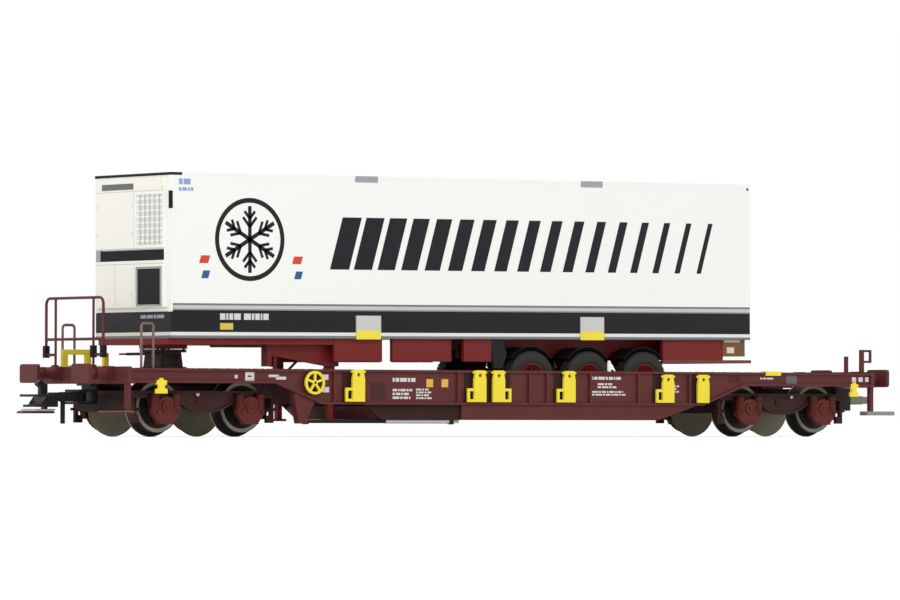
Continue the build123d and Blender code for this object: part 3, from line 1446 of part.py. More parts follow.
def wagon():
    """The wagon's fixed pieces, as a table of node names and solids."""
    sill = side_sill()
    floor, cheek, ribs = pocket()
    lugs = []
    for row in SILL_LUGS:
        lugs += both_sides(sill_lug(*row))
    buffers = []
    steps = []
    for side in (-1, 1):
        buffers += both_ends(Pos(0, side * BUFFER_SPACING / 2, 0) * buffer())
    for step in both_sides(corner_step()):
        steps += both_ends(step)
    bracket, rod = brake_gear()
    pedestal, plate = hitch()
    return {
        "side_sill_far": [sill],
        "side_sill_near": [mirror(sill, about=Plane.XZ)],
        "deck_plates": both_ends(end_deck()),
        "deck_frames": both_ends(end_frame()),
        "headstocks": both_ends(headstock()),
        "pocket_floor": [floor],
        "pocket_cheeks": both_sides(cheek),
        "pocket_ribs": ribs,
        "buffers": buffers,
        "coupler_pocket_left": [mirror(coupler_pocket(), about=Plane.YZ)],
        "coupler_pocket_right": [right_pocket()],
        "sill_lugs": lugs,
        "deck_spigots": deck_spigots(),
        "handwheels": both_sides(handwheel()),
        "end_railing": [railing()],
        "grab_hoops": both_sides(grab_hoop()),
        "lamp_fittings": lamp_fittings(),
        "corner_steps": steps,
        "brake_bracket": [bracket],
        "brake_rod": [rod],
        "hitch_pedestal": [pedestal],
        "hitch_plate": [plate],
    }


def bogies():
    """Both bogies with their wheelsets, as a table of node names and solids."""
    axle = wheelset()
    frame = bogie_frame()
    box = axlebox()
    nodes = {}
    for name, side in BOGIES:
        centre = Pos(side * PIVOT_X, 0, 0)
        nodes[f"bogie_{name}_frame"] = [centre * frame]
        boxes = []
        for end in (-1, 1):
            spot = centre * Pos(end * WHEEL_BASE / 2, 0, 0)
            boxes += [spot * piece for piece in both_sides(box)]
            where = "outer" if end == side else "inner"
            nodes[f"bogie_{name}_wheelset_{where}"] = [spot * Pos(0, 0, WHEEL_Z) * axle]
        nodes[f"bogie_{name}_axleboxes"] = boxes
    return nodes


def trailer():
    """The trailer's pieces in its own frame, as a table of node names and solids."""
    nodes = trailer_box()
    housing, grille = refrigeration_unit()
    gear, legs = landing_gear()
    bar, lamps = rear_gear()
    guards = []
    for piece in mudguards():
        guards += both_sides(piece)
    nodes["refrigeration_unit"] = [housing]
    nodes["refrigeration_grille"] = [grille]
    nodes["lift_plates"] = lift_plates()
    nodes["neck_frame"] = [neck_frame()]
    nodes["landing_gear_frame"] = [gear]
    nodes["landing_legs"] = legs
    nodes["side_panels"] = side_panels()
    nodes["axle_frame"] = [axle_frame()]
    nodes["mudguards"] = guards
    nodes["underrun_bar"] = [bar]
    nodes["rear_lamp_blocks"] = lamps
    rims, tyres = road_wheels()
    for number in (1, 2, 3):
        spot = Pos(axle_x(number), 0, axle_z(axle_x(number)))
        nodes[f"road_wheels_{number}"] = [spot * rims]
        nodes[f"road_tyres_{number}"] = [spot * tyre for tyre in tyres]
    return nodes


def main():
    os.makedirs("parts", exist_ok=True)
    for name, pieces in {**wagon(), **bogies()}.items():
        save(name, pieces)
    save("coupler_left", [mirror(coupler(), about=Plane.YZ)])
    for name, pieces in trailer().items():
        save(name, [trailer_place(piece) for piece in pieces])


main()
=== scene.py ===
import json
import math

import bmesh
import bpy
from mathutils import Matrix, Vector


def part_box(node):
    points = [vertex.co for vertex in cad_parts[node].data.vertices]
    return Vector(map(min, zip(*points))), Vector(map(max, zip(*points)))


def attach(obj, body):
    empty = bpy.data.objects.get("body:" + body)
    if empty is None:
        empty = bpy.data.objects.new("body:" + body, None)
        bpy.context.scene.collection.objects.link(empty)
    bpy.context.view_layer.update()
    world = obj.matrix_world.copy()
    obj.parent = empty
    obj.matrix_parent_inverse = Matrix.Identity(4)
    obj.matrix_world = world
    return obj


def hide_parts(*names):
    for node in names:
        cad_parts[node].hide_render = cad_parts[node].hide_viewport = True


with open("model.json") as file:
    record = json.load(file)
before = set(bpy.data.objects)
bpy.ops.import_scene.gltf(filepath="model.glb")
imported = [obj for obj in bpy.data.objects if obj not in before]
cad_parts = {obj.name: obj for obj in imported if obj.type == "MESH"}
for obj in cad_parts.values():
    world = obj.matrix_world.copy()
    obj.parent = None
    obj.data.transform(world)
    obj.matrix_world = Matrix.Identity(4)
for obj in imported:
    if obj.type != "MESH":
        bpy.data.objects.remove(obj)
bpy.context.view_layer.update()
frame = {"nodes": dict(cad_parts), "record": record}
MM = 0.001

# The camera stands low beside the track, so that the floor is seen almost edge on. Its place is in metres,
# its lens and sensor are in millimetres and its turns in degrees.
CAMERA_PLACE = (-0.762, -1.064, 0.0049)
CAMERA_LENS = 243.8
SENSOR = 36.0
CAMERA_YAW = -35.41
CAMERA_PITCH = -1.07
CAMERA_ROLL = 0.135

# How much of its own white the floor shows the camera, so that the far card reads as white.
FLOOR_LIFT = 0.45
FLOOR_REACH = 30.0
WORLD_LIGHT = 0.6
# Each lamp's place and disk width in metres, and its watts.
LAMPS = (
    ("key", (-0.6, -0.8, 0.6), 0.5, 3.4),
    ("fill", (0.9, -0.7, 0.45), 0.6, 1.6),
    ("front", (-1.15, -0.15, 0.3), 0.5, 1.7),
    ("top", (0.0, 0.2, 1.1), 0.8, 3.2),
)
LAMP_AIM = (0, 0, 0.03)

# Near and far side, or left and right end: the near side is at negative y, the left end at negative x.
BOTH = (-1, 1)


def corners_of(node):
    """The lowest and the highest corner of a CAD node, in millimetres."""
    low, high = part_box(node)
    return low / MM, high / MM


def middle_of(node):
    """The middle of a CAD node's box, in millimetres."""
    low, high = corners_of(node)
    return (low + high) / 2


# The wagon, taken from its own solids. Heights start at the floor that the wheels' flanges stand on.
RAIL = 0.9
DECK = corners_of("deck_plates")[1].z
END_X = corners_of("headstocks")[1].x
PIVOT_X = middle_of("bogie_right_frame").x
HALF_BASE = (middle_of("bogie_right_wheelset_outer").x - middle_of("bogie_right_wheelset_inner").x) / 2
WHEEL_Z = middle_of("bogie_right_wheelset_outer").z
HITCH_X = middle_of("hitch_plate").x
WEB_SIDE = 16.5

# The loaded trailer's own frame: under its box's middle, at the lower edge of the rails, nose a little low.
TRAILER_X = -10.55
TRAILER_Z = 20.75
TRAILER_TILT = math.radians(0.35)
TRAILER = Matrix.Translation((TRAILER_X, 0, TRAILER_Z)) @ Matrix.Rotation(-TRAILER_TILT, 4, "Y")
BOX_SIDE = corners_of("box_roof")[1].y
BOX_END = 75.35
BOX_TOP = 34.0
EDGE_RAIL = 0.55
UNIT_FRONT = -76.15
PANEL_SIDE = 13.5
# The road axles' places along the trailer and their heights, and how far out their tyres start.
AXLES = ((16.6, -8.34), (31.65, -8.43), (46.7, -8.52))
TYRE_INNER = 10.3


def linear(colour):
    """An sRGB hex colour as linear red, green, blue and alpha."""
    channels = [int(colour[i:i + 2], 16) / 255 for i in (1, 3, 5)]
    return [c / 12.92 if c <= 0.04045 else ((c + 0.055) / 1.055) ** 2.4 for c in channels] + [1.0]


def add(tree, kind, links=(), **settings):
    """A shader node with its settings, and its links as (input, other node, output)."""
    node = tree.nodes.new(kind)
    for name, value in settings.items():
        if name.startswith("in_"):
            key = name[3:]
            node.inputs[int(key) if key.isdigit() else key.replace("_", " ")].default_value = value
        else:
            setattr(node, name, value)
    for name, other, output in links:
        tree.links.new(other.outputs[output], node.inputs[name])
    return node


# The colour and the gloss of every finish drift slowly, over patches of this size in millimetres.
DRIFT_SIZE = 9
GLOSS_DRIFT = 0.06
BUMP_STRENGTH = 0.3
# Plastics, inks and paints share one IOR and one gleam.
PLASTIC_IOR = 1.46
PLASTIC_GLEAM = 0.25


def band_colours(tree, place, bands):
    """A ramp up the trailer's own height: bands are (height in millimetres, colour) up to the next one."""
    below, above = 1, 1
    up = TRAILER.to_3x3() @ Vector((0, 0, 1))
    foot = up.dot(Vector((TRAILER_X, 0, TRAILER_Z)))
    along = add(tree, "ShaderNodeVectorMath", [(0, place, "Object")], operation="DOT_PRODUCT", in_1=up)
    height = add(
        tree,
        "ShaderNodeMapRange",
        [("Value", along, "Value")],
        in_From_Min=(foot - below) * MM,
        in_From_Max=(foot + BOX_TOP + above) * MM,
    )
    node = add(tree, "ShaderNodeValToRGB", [("Fac", height, "Result")])
    ramp = node.color_ramp
    ramp.interpolation = "CONSTANT"
    for number, (start, tint) in enumerate(bands):
        stop = (start + below) / (BOX_TOP + below + above)
        if number > 0:
            ramp.elements.new(stop)
        ramp.elements[number].position = stop
        ramp.elements[number].color = linear(tint)
    ramp.elements[-1].position = max(ramp.elements[-1].position, stop)
    return node


def surface(name, colour, roughness, ior=PLASTIC_IOR, metallic=0.0, grain=0.25, depth=0.012, mottle=0.05,
            gleam=PLASTIC_GLEAM, bands=()):
    """A finish: its colour or bands, their slow drift, its gleam, and a fine grain in millimetres."""
    material = bpy.data.materials.new(name)
    material.use_nodes = True
    tree = material.node_tree
    tree.nodes.clear()
    place = add(tree, "ShaderNodeTexCoord")
    where = [("Vector", place, "Object")]
    drift = add(tree, "ShaderNodeTexNoise", where, in_Scale=1 / (DRIFT_SIZE * MM), in_Detail=3.0)
    fine = add(tree, "ShaderNodeTexNoise", where, in_Scale=1 / (grain * MM), in_Detail=2.0)
    drifting = [("Value", drift, "Fac")]
    gloss = add(
        tree,
        "ShaderNodeMapRange",
        drifting,
        in_To_Min=max(roughness - GLOSS_DRIFT, 0.0),
        in_To_Max=roughness + GLOSS_DRIFT,
    )
    shade = add(tree, "ShaderNodeMapRange", drifting, in_To_Min=1 - mottle, in_To_Max=1 + mottle)
    tinted = add(
        tree,
        "ShaderNodeVectorMath",
        [("Scale", shade, "Result")],
        operation="SCALE",
        in_0=linear(colour)[:3],
    )
    if bands:
        tree.links.new(band_colours(tree, place, bands).outputs["Color"], tinted.inputs[0])
    bump = add(
        tree, "ShaderNodeBump", [("Height", fine, "Fac")], in_Strength=BUMP_STRENGTH, in_Distance=depth * MM
    )
    shader = add(
        tree,
        "ShaderNodeBsdfPrincipled",
        [("Base Color", tinted, "Vector"), ("Normal", bump, "Normal"), ("Roughness", gloss, "Result")],
        in_Metallic=metallic,
        in_Specular_IOR_Level=gleam,
    )
    if ior:
        shader.inputs["IOR"].default_value = ior
    add(tree, "ShaderNodeOutputMaterial", [("Surface", shader, "BSDF")])
    return material


WHITE = "#F4F5F1"
NAVY = "#16161D"
SIDE_BANDS = [(-1.0, "#77787B"), (0.5, "#E4E5E2"), (1.2, NAVY), (5.7, "#8A8B8D"), (6.0, "#C6C7C6"),
              (6.7, "#77787A"), (7.05, WHITE)]
FRONT_BANDS = [(-1.0, "#E9E4DB"), (1.2, "#161517"), (5.4, "#F4F2E9")]
RAIL_BANDS = [(-1.0, "#77787B"), (0.5, "#E4E5E2")]
PLATE_BANDS = [(-1.0, "#F0DC45"), (1.6, "#CAC9C6")]
# A metal keeps the shader's own IOR, with a gleam that reflects as much as the plastics'.
METAL = {"ior": None, "gleam": 0.22}
PRINTED = {"mottle": 0.02}

# Each slot's finish, named for the real one. Moulded polystyrene is satin with a fine grain, drawn coarser
# than its 0.05 mm so that it shows. Painted pieces are flatter, and printed ones have the paint's even film
# over the white. Acetal is smoother and darker. The wheels' metal is dull on its faces, with painted light:
# it is drawn lighter than itself, for the light on the far wheels' inner faces.
finishes = {
    "wagon_red_plastic": surface("painted_polystyrene_oxide_red", "#5C2A28", 0.5),
    "bogie_brown_plastic": surface("moulded_polystyrene_bogie_brown", "#3A1B18", 0.5, mottle=0.09),
    "yellow_plastic": surface("moulded_polystyrene_yellow", "#F6DF3E", 0.42),
    "black_plastic": surface("moulded_acetal_black", "#131416", 0.38),
    "bright_wire": surface("drawn_steel_wire", "#B4B6B4", 0.28, metallic=1.0, **METAL),
    # The wheels' metal drawn lighter than itself: painted light for the lit inner faces of the far wheels.
    "blackened_wheels": surface("wheel_metal_with_painted_light", "#A8A38B", 0.45, metallic=0.2, mottle=0.12, **METAL),
    "box_white_plastic": surface("printed_polystyrene_side", WHITE, 0.32, mottle=0.012, bands=SIDE_BANDS),
    "grey_plastic": surface("moulded_polystyrene_grey", "#B3B6B8", 0.42),
    "trailer_red_plastic": surface("moulded_polystyrene_chassis_red", "#77201E", 0.42),
    "tyre_rubber": surface("soft_vinyl_tyre", "#302F2E", 0.62, grain=0.18, depth=0.02),
}
# Finishes of single pieces. Pad printing is a thin even ink, a lens is clear coloured styrene, and wire and
# treads are metal under thin paint.
extras = {
    "front_white": surface("printed_polystyrene_front", WHITE, 0.34, mottle=0.012, bands=FRONT_BANDS),
    "plain_white": surface("moulded_polystyrene_white", WHITE, 0.32, mottle=0.015),
    "lift_plate": surface("two_colour_printed_polystyrene", "#B3B6B8", 0.42, bands=PLATE_BANDS),
    "rail_grey": surface("printed_polystyrene_grey", "#A0A3A8", 0.38),
    "rail_print": surface("printed_polystyrene_rail", "#A0A3A8", 0.38, bands=RAIL_BANDS),
    # The wheels' outer faces, treads and hubs drawn near black: painted shade.
    "wheel_black": surface("painted_shade_wheel_face", "#231F1D", 0.5, mottle=0.15),
    # The tyre edges are turned metal, drawn lighter as a painted highlight for the bright rims.
    "wheel_ring": surface("turned_tyre_edge_and_painted_highlight", "#88847A", 0.35, metallic=0.5, mottle=0.15, **METAL),
    # The hatches are the sill's brown drawn darker: painted shade.
    "hatch_brown": surface("sill_hatch_painted_shade", "#452120", 0.5, mottle=0.08),
    "bar_brown": surface("moulded_polystyrene_dull_brown", "#7A4438", 0.45),
    "axlebox_red": surface("moulded_polystyrene_axlebox_red", "#612520", 0.46),
    "navy_print": surface("navy_pad_print", NAVY, 0.4, **PRINTED),
    "grey_print": surface("grey_pad_print", "#9EA1A7", 0.4, **PRINTED),
    "pale_print": surface("pale_pad_print", "#D9D4D2", 0.45, **PRINTED),
    "blue_print": surface("light_blue_pad_print", "#8FA6CC", 0.4, **PRINTED),
    "red_print": surface("vermilion_pad_print", "#D04A32", 0.4, **PRINTED),
    "deep_blue_print": surface("blue_pad_print", "#2B5F8E", 0.4, **PRINTED),
    "gold_print": surface("yellow_pad_print", "#D9C049", 0.42, **PRINTED),
    "ochre_print": surface("ochre_pad_print", "#E5B24E", 0.42, **PRINTED),
    # Matt black for black parts and marks, and painted shade in the unit's openings.
    "shadow_black": surface("matt_black_paint_and_painted_shade", "#111215", 0.6),
    "seal_black": surface("soft_door_seal", "#33363A", 0.6),
    "lamp_red": surface("tinted_styrene_red_lens", "#A81F1B", 0.15),
    "lamp_amber": surface("tinted_styrene_amber_lens", "#C9781E", 0.15),
    "lamp_clear": surface("clear_styrene_lens", "#D8D2C0", 0.12),
    "lamp_housing": surface("moulded_polystyrene_tan", "#74573D", 0.45),
    "lamp_cream": surface("moulded_polystyrene_cream", "#E6D3B4", 0.4),
    "step_grey": surface("etched_grey_tread", "#8A8B8A", 0.4, metallic=0.3, **METAL),
    "grille_grey": surface("moulded_polystyrene_grille", "#B9BDB8", 0.4, **PRINTED),
    "grille_cells": surface("pale_mesh_behind_grille", "#DFE1DB", 0.5, **PRINTED),
    "seam_grey": surface("panel_seam_shadow", "#B9BAB6", 0.6, **PRINTED),
    "strip_grey": surface("blank_printed_strip", "#6C6B6C", 0.4, **PRINTED),
    "dull_grey_print": surface("dull_grey_pad_print", "#6F6364", 0.5, mottle=0.03),
    "deck_brown": surface("painted_polystyrene_deck", "#562B28", 0.58, mottle=0.08),
    # Brown darkened as painted shade, for pieces inside the pockets, beside the lugs, behind the handwheels
    # and inside the bogies.
    "shaded_brown": surface("painted_shade_brown", "#301916", 0.65, mottle=0.08),
    "hitch_brown": surface("moulded_polystyrene_dark_brown", "#341815", 0.45),
    # The legs are the chassis's red drawn brighter: painted light for the light that falls on them.
    "leg_red": surface("chassis_red_with_painted_light", "#A02A26", 0.42),
    "hoop_wire": surface("brown_painted_wire", "#7A625D", 0.4, metallic=0.3, **METAL),
    "stub_grey": surface("moulded_polystyrene_olive_grey", "#7E8272", 0.45),
}
NODE_FINISHES = {
    "box_front_wall": "front_white",
    "refrigeration_unit": "front_white",
    "box_roof": "plain_white",
    "box_door_far": "plain_white",
    "box_door_near": "plain_white",
    "box_bottom_rails": "rail_print",
    "underrun_bar": "bar_brown",
    "refrigeration_grille": "plain_white",
    "lift_plates": "lift_plate",
    "bogie_left_axleboxes": "axlebox_red",
    "bogie_right_axleboxes": "axlebox_red",
    "deck_plates": "deck_brown",
    "rear_lamp_blocks": "lamp_housing",
    # The pocket cheeks take the darkened brown: painted shade for the pocket's inside.
    "pocket_cheeks": "shaded_brown",
    "hitch_pedestal": "hitch_brown",
    # The legs' brighter red is painted light.
    "landing_legs": "leg_red",
    "grab_hoops": "hoop_wire",
}


def dress_nodes():
    """Gives each CAD node the finish of its slot, or the one that its own place on the object asks for."""
    for row in frame["record"]["subparts"]:
        piece = frame["nodes"][row["node"]]
        piece.data.materials.clear()
        own = NODE_FINISHES.get(row["node"])
        piece.data.materials.append(extras[own] if own else finishes[row["material_slot"]])


def skin(mesh, low, high):
    """The wall between two loops with the same number of points."""
    count = len(low)
    for i in range(count):
        j = (i + 1) % count
        mesh.faces.new((low[i], low[j], high[j], high[i]))


def closed_form(mesh, loops):
    """The wall through a run of loops, closed at its first and its last one."""
    mesh.faces.new(list(reversed(loops[0])))
    mesh.faces.new(loops[-1])
    for low, high in zip(loops, loops[1:]):
        skin(mesh, low, high)


def prism(mesh, outline, push):
    """A flat outline of points, pushed along a vector to a closed solid."""
    push = Vector(push)
    low = [mesh.verts.new(Vector(p)) for p in outline]
    high = [mesh.verts.new(Vector(p) + push) for p in outline]
    closed_form(mesh, [low, high])


def bar(mesh, x0, x1, y0, y1, z0, z1):
    """A straight bar between two corners, given in either order, as one part of a larger piece."""
    prism(mesh, [(x0, y0, z0), (x1, y0, z0), (x1, y1, z0), (x0, y1, z0)], (0, 0, z1 - z0))


def block(mesh, x, y, z0, z1, half):
    """An upright square block about a place."""
    bar(mesh, x - half, x + half, y - half, y + half, z0, z1)


def loop_about(mesh, centre, along, side, radius, sides):
    """A round loop of points about a direction, which starts at its side."""
    other = along.cross(side)
    turns = (i * math.tau / sides for i in range(sides))
    return [mesh.verts.new(centre + radius * (math.cos(a) * side + math.sin(a) * other)) for a in turns]


def turned_loops(mesh, centre, axis, profile, sides):
    """A loop of points for each (radius, distance along the axis) of a profile."""
    axis = Vector(axis).normalized()
    side = axis.orthogonal().normalized()
    return [
        loop_about(mesh, Vector(centre) + along * axis, axis, side, radius, sides)
        for radius, along in profile
    ]


def turned(mesh, centre, axis, profile, sides=24):
    """A closed turned form: (radius, distance along the axis) from one end to the other."""
    closed_form(mesh, turned_loops(mesh, centre, axis, profile, sides))


def ring(mesh, centre, axis, profile, sides=32):
    """A closed profile of (radius, distance along the axis), turned all the way round an axis."""
    loops = turned_loops(mesh, centre, axis, profile, sides)
    for low, high in zip(loops, loops[1:] + loops[:1]):
        skin(mesh, low, high)


def dome(mesh, centre, axis, radius, sides=8):
    """A rivet's or bolt's round head on a surface."""
    profile = [(radius, 0), (radius * 0.85, radius * 0.45), (radius * 0.4, radius * 0.7)]
    turned(mesh, centre, axis, profile, sides)


def tube(mesh, points, radius, sides=8):
    """A round wire along points, mitred at its bends and closed at its ends."""
    points = [Vector(p) for p in points]
    steps = [(end - start).normalized() for start, end in zip(points, points[1:])]
    side = steps[0].orthogonal().normalized()
    loops = []
    for point, before, after in zip(points, steps[:1] + steps, steps + steps[-1:]):
        along = (before + after).normalized()
        side = (side - side.dot(along) * along).normalized()
        loops.append(loop_about(mesh, point, along, side, radius, sides))
    closed_form(mesh, loops)


def arc(x, z, start, end, radius, steps, y):
    """Points of an arc between two angles in degrees, about a place seen from the side."""
    points = []
    for number in range(steps + 1):
        turn = math.radians(start + (end - start) * number / steps)
        points.append((x + radius * math.cos(turn), y, z + radius * math.sin(turn)))
    return points


def spring(mesh, foot, height, radius, wire, turns):
    """A coil spring standing on its foot."""
    steps = 12
    points = []
    for number in range(turns * steps + 1):
        turn = number * math.tau / steps
        rise = height * number / (turns * steps)
        points.append(Vector(foot) + Vector((radius * math.cos(turn), radius * math.sin(turn), rise)))
    tube(mesh, points, wire, sides=6)


BEVEL_ANGLE = math.radians(40)
SHARP_ANGLE = math.radians(35)


def finish(name, mesh, material, body, slot, on_trailer=False, bevel=0.0, smooth=False):
    """Makes a piece from a mesh in millimetres: its finish, its softened edges and the body it rides on."""
    bmesh.ops.recalc_face_normals(mesh, faces=mesh.faces)
    mesh.transform(Matrix.Scale(MM, 4) @ (TRAILER if on_trailer else Matrix.Identity(4)))
    data = bpy.data.meshes.new(name)
    mesh.to_mesh(data)
    mesh.free()
    piece = bpy.data.objects.new(name, data)
    bpy.context.scene.collection.objects.link(piece)
    data.materials.append(extras.get(material) or finishes[material])
    if bevel:
        edge = piece.modifiers.new("softened_edges", "BEVEL")
        edge.width = bevel * MM
        edge.segments = 2
        edge.limit_method = "ANGLE"
        edge.angle_limit = BEVEL_ANGLE
    if smooth:
        for face in data.polygons:
            face.use_smooth = True
        data.set_sharp_from_angle(angle=SHARP_ANGLE)
    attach(piece, body)
    return piece


def trailer_piece(name, mesh, material, slot="trailer_red_plastic", body="trailer", **edges):
    """A piece in the trailer's own frame, which rides with it or with one of its axles."""
    return finish(name, mesh, material, body, slot, on_trailer=True, **edges)


def box_piece(name, mesh, material, slot="box_white_plastic", **edges):
    """A piece on the trailer's box."""
    return trailer_piece(name, mesh, material, slot, **edges)


def wagon_piece(name, mesh, material="wagon_red_plastic", slot="wagon_red_plastic", **edges):
    """A piece of the wagon's own body."""
    return finish(name, mesh, material, "wagon", slot, **edges)


# The thickness of a printed mark, and the dashes that stand for small print, taken in turn.
PRINT = 0.04
DASHES = (1.3, 0.5, 0.9, 1.7, 0.6, 1.1, 0.4)
DASH_GAP = 0.25
SHORTEST_DASH = 0.2


def side_print(mesh, outline, side, face=BOX_SIDE):
    """An outline of (x, z) printed on a side face."""
    prism(mesh, [(x, side * face, z) for x, z in outline], (0, side * PRINT, 0))


def rectangle(x0, x1, z0, z1):
    """The outline of a rectangle."""
    return [(x0, z0), (x1, z0), (x1, z1), (x0, z1)]


def dashed_row(mesh, x0, x1, z0, z1, side, face=BOX_SIDE, start=0):
    """A row of dashes in place of small print."""
    x = x0
    number = start
    while x < x1 - SHORTEST_DASH:
        end = min(x + DASHES[number % len(DASHES)], x1)
        side_print(mesh, rectangle(x, end, z0, z1), side, face)
        x = end + DASH_GAP
        number += 1


def leaning_bars():
    """Each side's run of navy bars, which lean back and thin out towards the rear."""
    first, last = -35.9, 69.9
    low, high = 14.4, 25.3
    count = 17
    lean = 0.3 * (high - low)
    widest, thinning = 0.8, 0.6
    pitch = (last - first - lean) / count
    mesh = bmesh.new()
    for side in BOTH:
        for number in range(count):
            x0 = first + number * pitch
            x1 = x0 + pitch * (widest - thinning * number / (count - 1))
            side_print(mesh, [(x0, low), (x1, low), (x1 + lean, high), (x0 + lean, high)], side)
    box_piece("side_bars", mesh, "navy_print")


STAR_PLACE = Vector((-55.9, 20.4))
STAR_RADIUS = 8.6
STAR_RING = 1.0
ARM_LENGTH, ARM_HALF = 6.9, 0.42
BRANCHES = ((2.6, 2.6), (4.3, 2.0))
BRANCH_HALF = 0.3
BRANCH_ANGLE = 40


def star_strip(mesh, side, root, heading, length, half):
    """A straight strip of the star from a root, along a heading in degrees."""
    turn = math.radians(heading)
    tip = root + length * Vector((math.cos(turn), math.sin(turn)))
    across = half * Vector((-math.sin(turn), math.cos(turn)))
    outline = [STAR_PLACE + corner for corner in (root - across, tip - across, tip + across, root + across)]
    side_print(mesh, outline, side)


def snow_star():
    """Each side's navy ring with a snow star of six branched arms."""
    mesh = bmesh.new()
    x, z = STAR_PLACE
    inner = STAR_RADIUS - STAR_RING
    for side in BOTH:
        profile = [(STAR_RADIUS, 0), (STAR_RADIUS, PRINT), (inner, PRINT), (inner, 0)]
        ring(mesh, (x, side * BOX_SIDE, z), (0, side, 0), profile, 48)
        for arm in range(6):
            heading = 90 + arm * 60
            star_strip(mesh, side, Vector((0, 0)), heading, ARM_LENGTH, ARM_HALF)
            for start, length in BRANCHES:
                turn = math.radians(heading)
                root = start * Vector((math.cos(turn), math.sin(turn)))
                for way in BOTH:
                    star_strip(mesh, side, root, heading + way * BRANCH_ANGLE, length, BRANCH_HALF)
    box_piece("side_snow_star", mesh, "navy_print")


def flashes():
    """The small red and blue flashes before and behind the star."""
    lean = 0.5
    for name, material, spans, z0, z1 in (
        ("side_red_flashes", "red_print", ((-68.4, -66.2), (-45.4, -43.2)), 15.4, 17.0),
        ("side_blue_flashes", "deep_blue_print", ((-67.9, -66.2), (-44.9, -43.2)), 12.3, 13.9),
    ):
        mesh = bmesh.new()
        for side in BOTH:
            for x0, x1 in spans:
                side_print(mesh, [(x0, z0), (x1, z0), (x1 + lean, z1), (x0 + lean, z1)], side)
        box_piece(name, mesh, material)


def small_box_marks():
    """Dashes and a yellow block on the navy band, and pale blue dashes in the top corner."""
    pale = bmesh.new()
    gold = bmesh.new()
    blue = bmesh.new()
    for side in BOTH:
        dashed_row(pale, -63.3, -58.2, 3.8, 5.1, side)
        dashed_row(pale, -57.4, -51.2, 3.8, 5.1, side, start=3)
        side_print(gold, rectangle(-63.3, -60.1, 1.75, 3.1), side)
        dashed_row(blue, -73.3, -70.2, 31.5, 32.7, side, start=2)
        dashed_row(blue, -73.3, -69.8, 30.2, 30.9, side, start=4)
    box_piece("band_dashes", pale, "pale_print")
    box_piece("band_block", gold, "gold_print")
    box_piece("corner_dashes", blue, "blue_print")


def roof_edge_plates():
    """Two grey plates on each side's top edge, over the lifting plates."""
    half, height, thickness = 2.9, 1.3, 0.12
    mesh = bmesh.new()
    for side in BOTH:
        for x in (-26.6, 32.2):
            y0, y1 = side * BOX_SIDE, side * (BOX_SIDE + thickness)
            bar(mesh, x - half, x + half, y0, y1, BOX_TOP - height, BOX_TOP)
    box_piece("roof_edge_plates", mesh, "grey_print", "grey_plastic", bevel=0.04)


def box_edge_trims():
    """The flat corner posts and top edge rails of the box's sides."""
    film = 0.06
    front_post, rear_post, turned_post = 1.0, 1.3, 0.8
    foot, top = 7.15, BOX_TOP - 0.6
    mesh = bmesh.new()
    for side in BOTH:
        y0, y1 = side * BOX_SIDE, side * (BOX_SIDE + film)
        bar(mesh, -BOX_END, -BOX_END + front_post, y0, y1, foot, top)
        bar(mesh, -BOX_END, BOX_END, y0, y1, BOX_TOP - EDGE_RAIL, BOX_TOP)
        bar(mesh, BOX_END - rear_post, BOX_END, y0, y1, foot, top)
        bar(mesh, -BOX_END - film, -BOX_END, y0, side * (BOX_SIDE - turned_post), 5.4, top)
    box_piece("box_edge_trims", mesh, "plain_white", bevel=0.03)


def front_edge_marks():
    """The black line over the front face, round its corners, and the near corner's black strip."""
    film, edge = 0.12, 0.1
    strip_low, strip_high, strip_width = 26.6, 30.2, 0.5
    corner_reach = 2.8
    mesh = bmesh.new()
    bar(mesh, -BOX_END - film, -BOX_END, -BOX_SIDE, BOX_SIDE, BOX_TOP - EDGE_RAIL, BOX_TOP)
    for side in BOTH:
        y0, y1 = side * BOX_SIDE, side * (BOX_SIDE + edge)
        bar(mesh, -BOX_END - film, -BOX_END + corner_reach, y0, y1, BOX_TOP - EDGE_RAIL, BOX_TOP)
        bar(mesh, BOX_END - 0.9, BOX_END - 0.4, y0, y1, BOX_TOP - 1.3, BOX_TOP - 0.8)
    y = -BOX_SIDE - edge
    bar(mesh, -BOX_END - edge, -BOX_END + strip_width, y, -BOX_SIDE, strip_low, strip_high)
    bar(mesh, -BOX_END - 0.16, -BOX_END, y, -BOX_SIDE + strip_width, strip_low, strip_high)
    box_piece("front_edge_marks", mesh, "shadow_black")


def roof_seams():
    """The roof sheets' riveted seams across the box and the rails along its edges."""
    sheets = 12
    film = 0.04
    rivet_pitch = 1.4
    mesh = bmesh.new()
    for number in range(1, sheets):
        x = -BOX_END + number * 2 * BOX_END / sheets
        bar(mesh, x - 0.3, x + 0.3, -BOX_SIDE + 0.6, BOX_SIDE - 0.6, BOX_TOP, BOX_TOP + film)
        for row in range(-9, 10):
            dome(mesh, (x, row * rivet_pitch, BOX_TOP + 0.03), (0, 0, 1), 0.06, 6)
    for side in BOTH:
        y0, y1 = side * (BOX_SIDE - 0.1), side * (BOX_SIDE - 0.9)
        bar(mesh, -BOX_END + 0.1, BOX_END - 7.5, y0, y1, BOX_TOP, BOX_TOP + film)
    box_piece("roof_seams", mesh, "plain_white")


def unit_grille():
    """The front unit's upright grille bars before their pale mesh."""
    low, high = 18.8, 30.0
    near, far = -13.0, -2.1
    cells = 6
    half = 0.16
    inset = 0.3
    face, back, rear = UNIT_FRONT + 0.06, UNIT_FRONT + 0.24, UNIT_FRONT + 0.31
    bars = bmesh.new()
    for number in range(1, cells):
        y = near + number * (far - near) / cells
        bar(bars, face, back, y - half, y + half, low + inset, high - inset)
    box_piece("grille_bars", bars, "grille_grey", "grey_plastic")
    mesh = bmesh.new()
    bar(mesh, back, rear, near + 0.1, far - 0.1, low, high)
    box_piece("grille_back", mesh, "grille_cells", "grey_plastic")


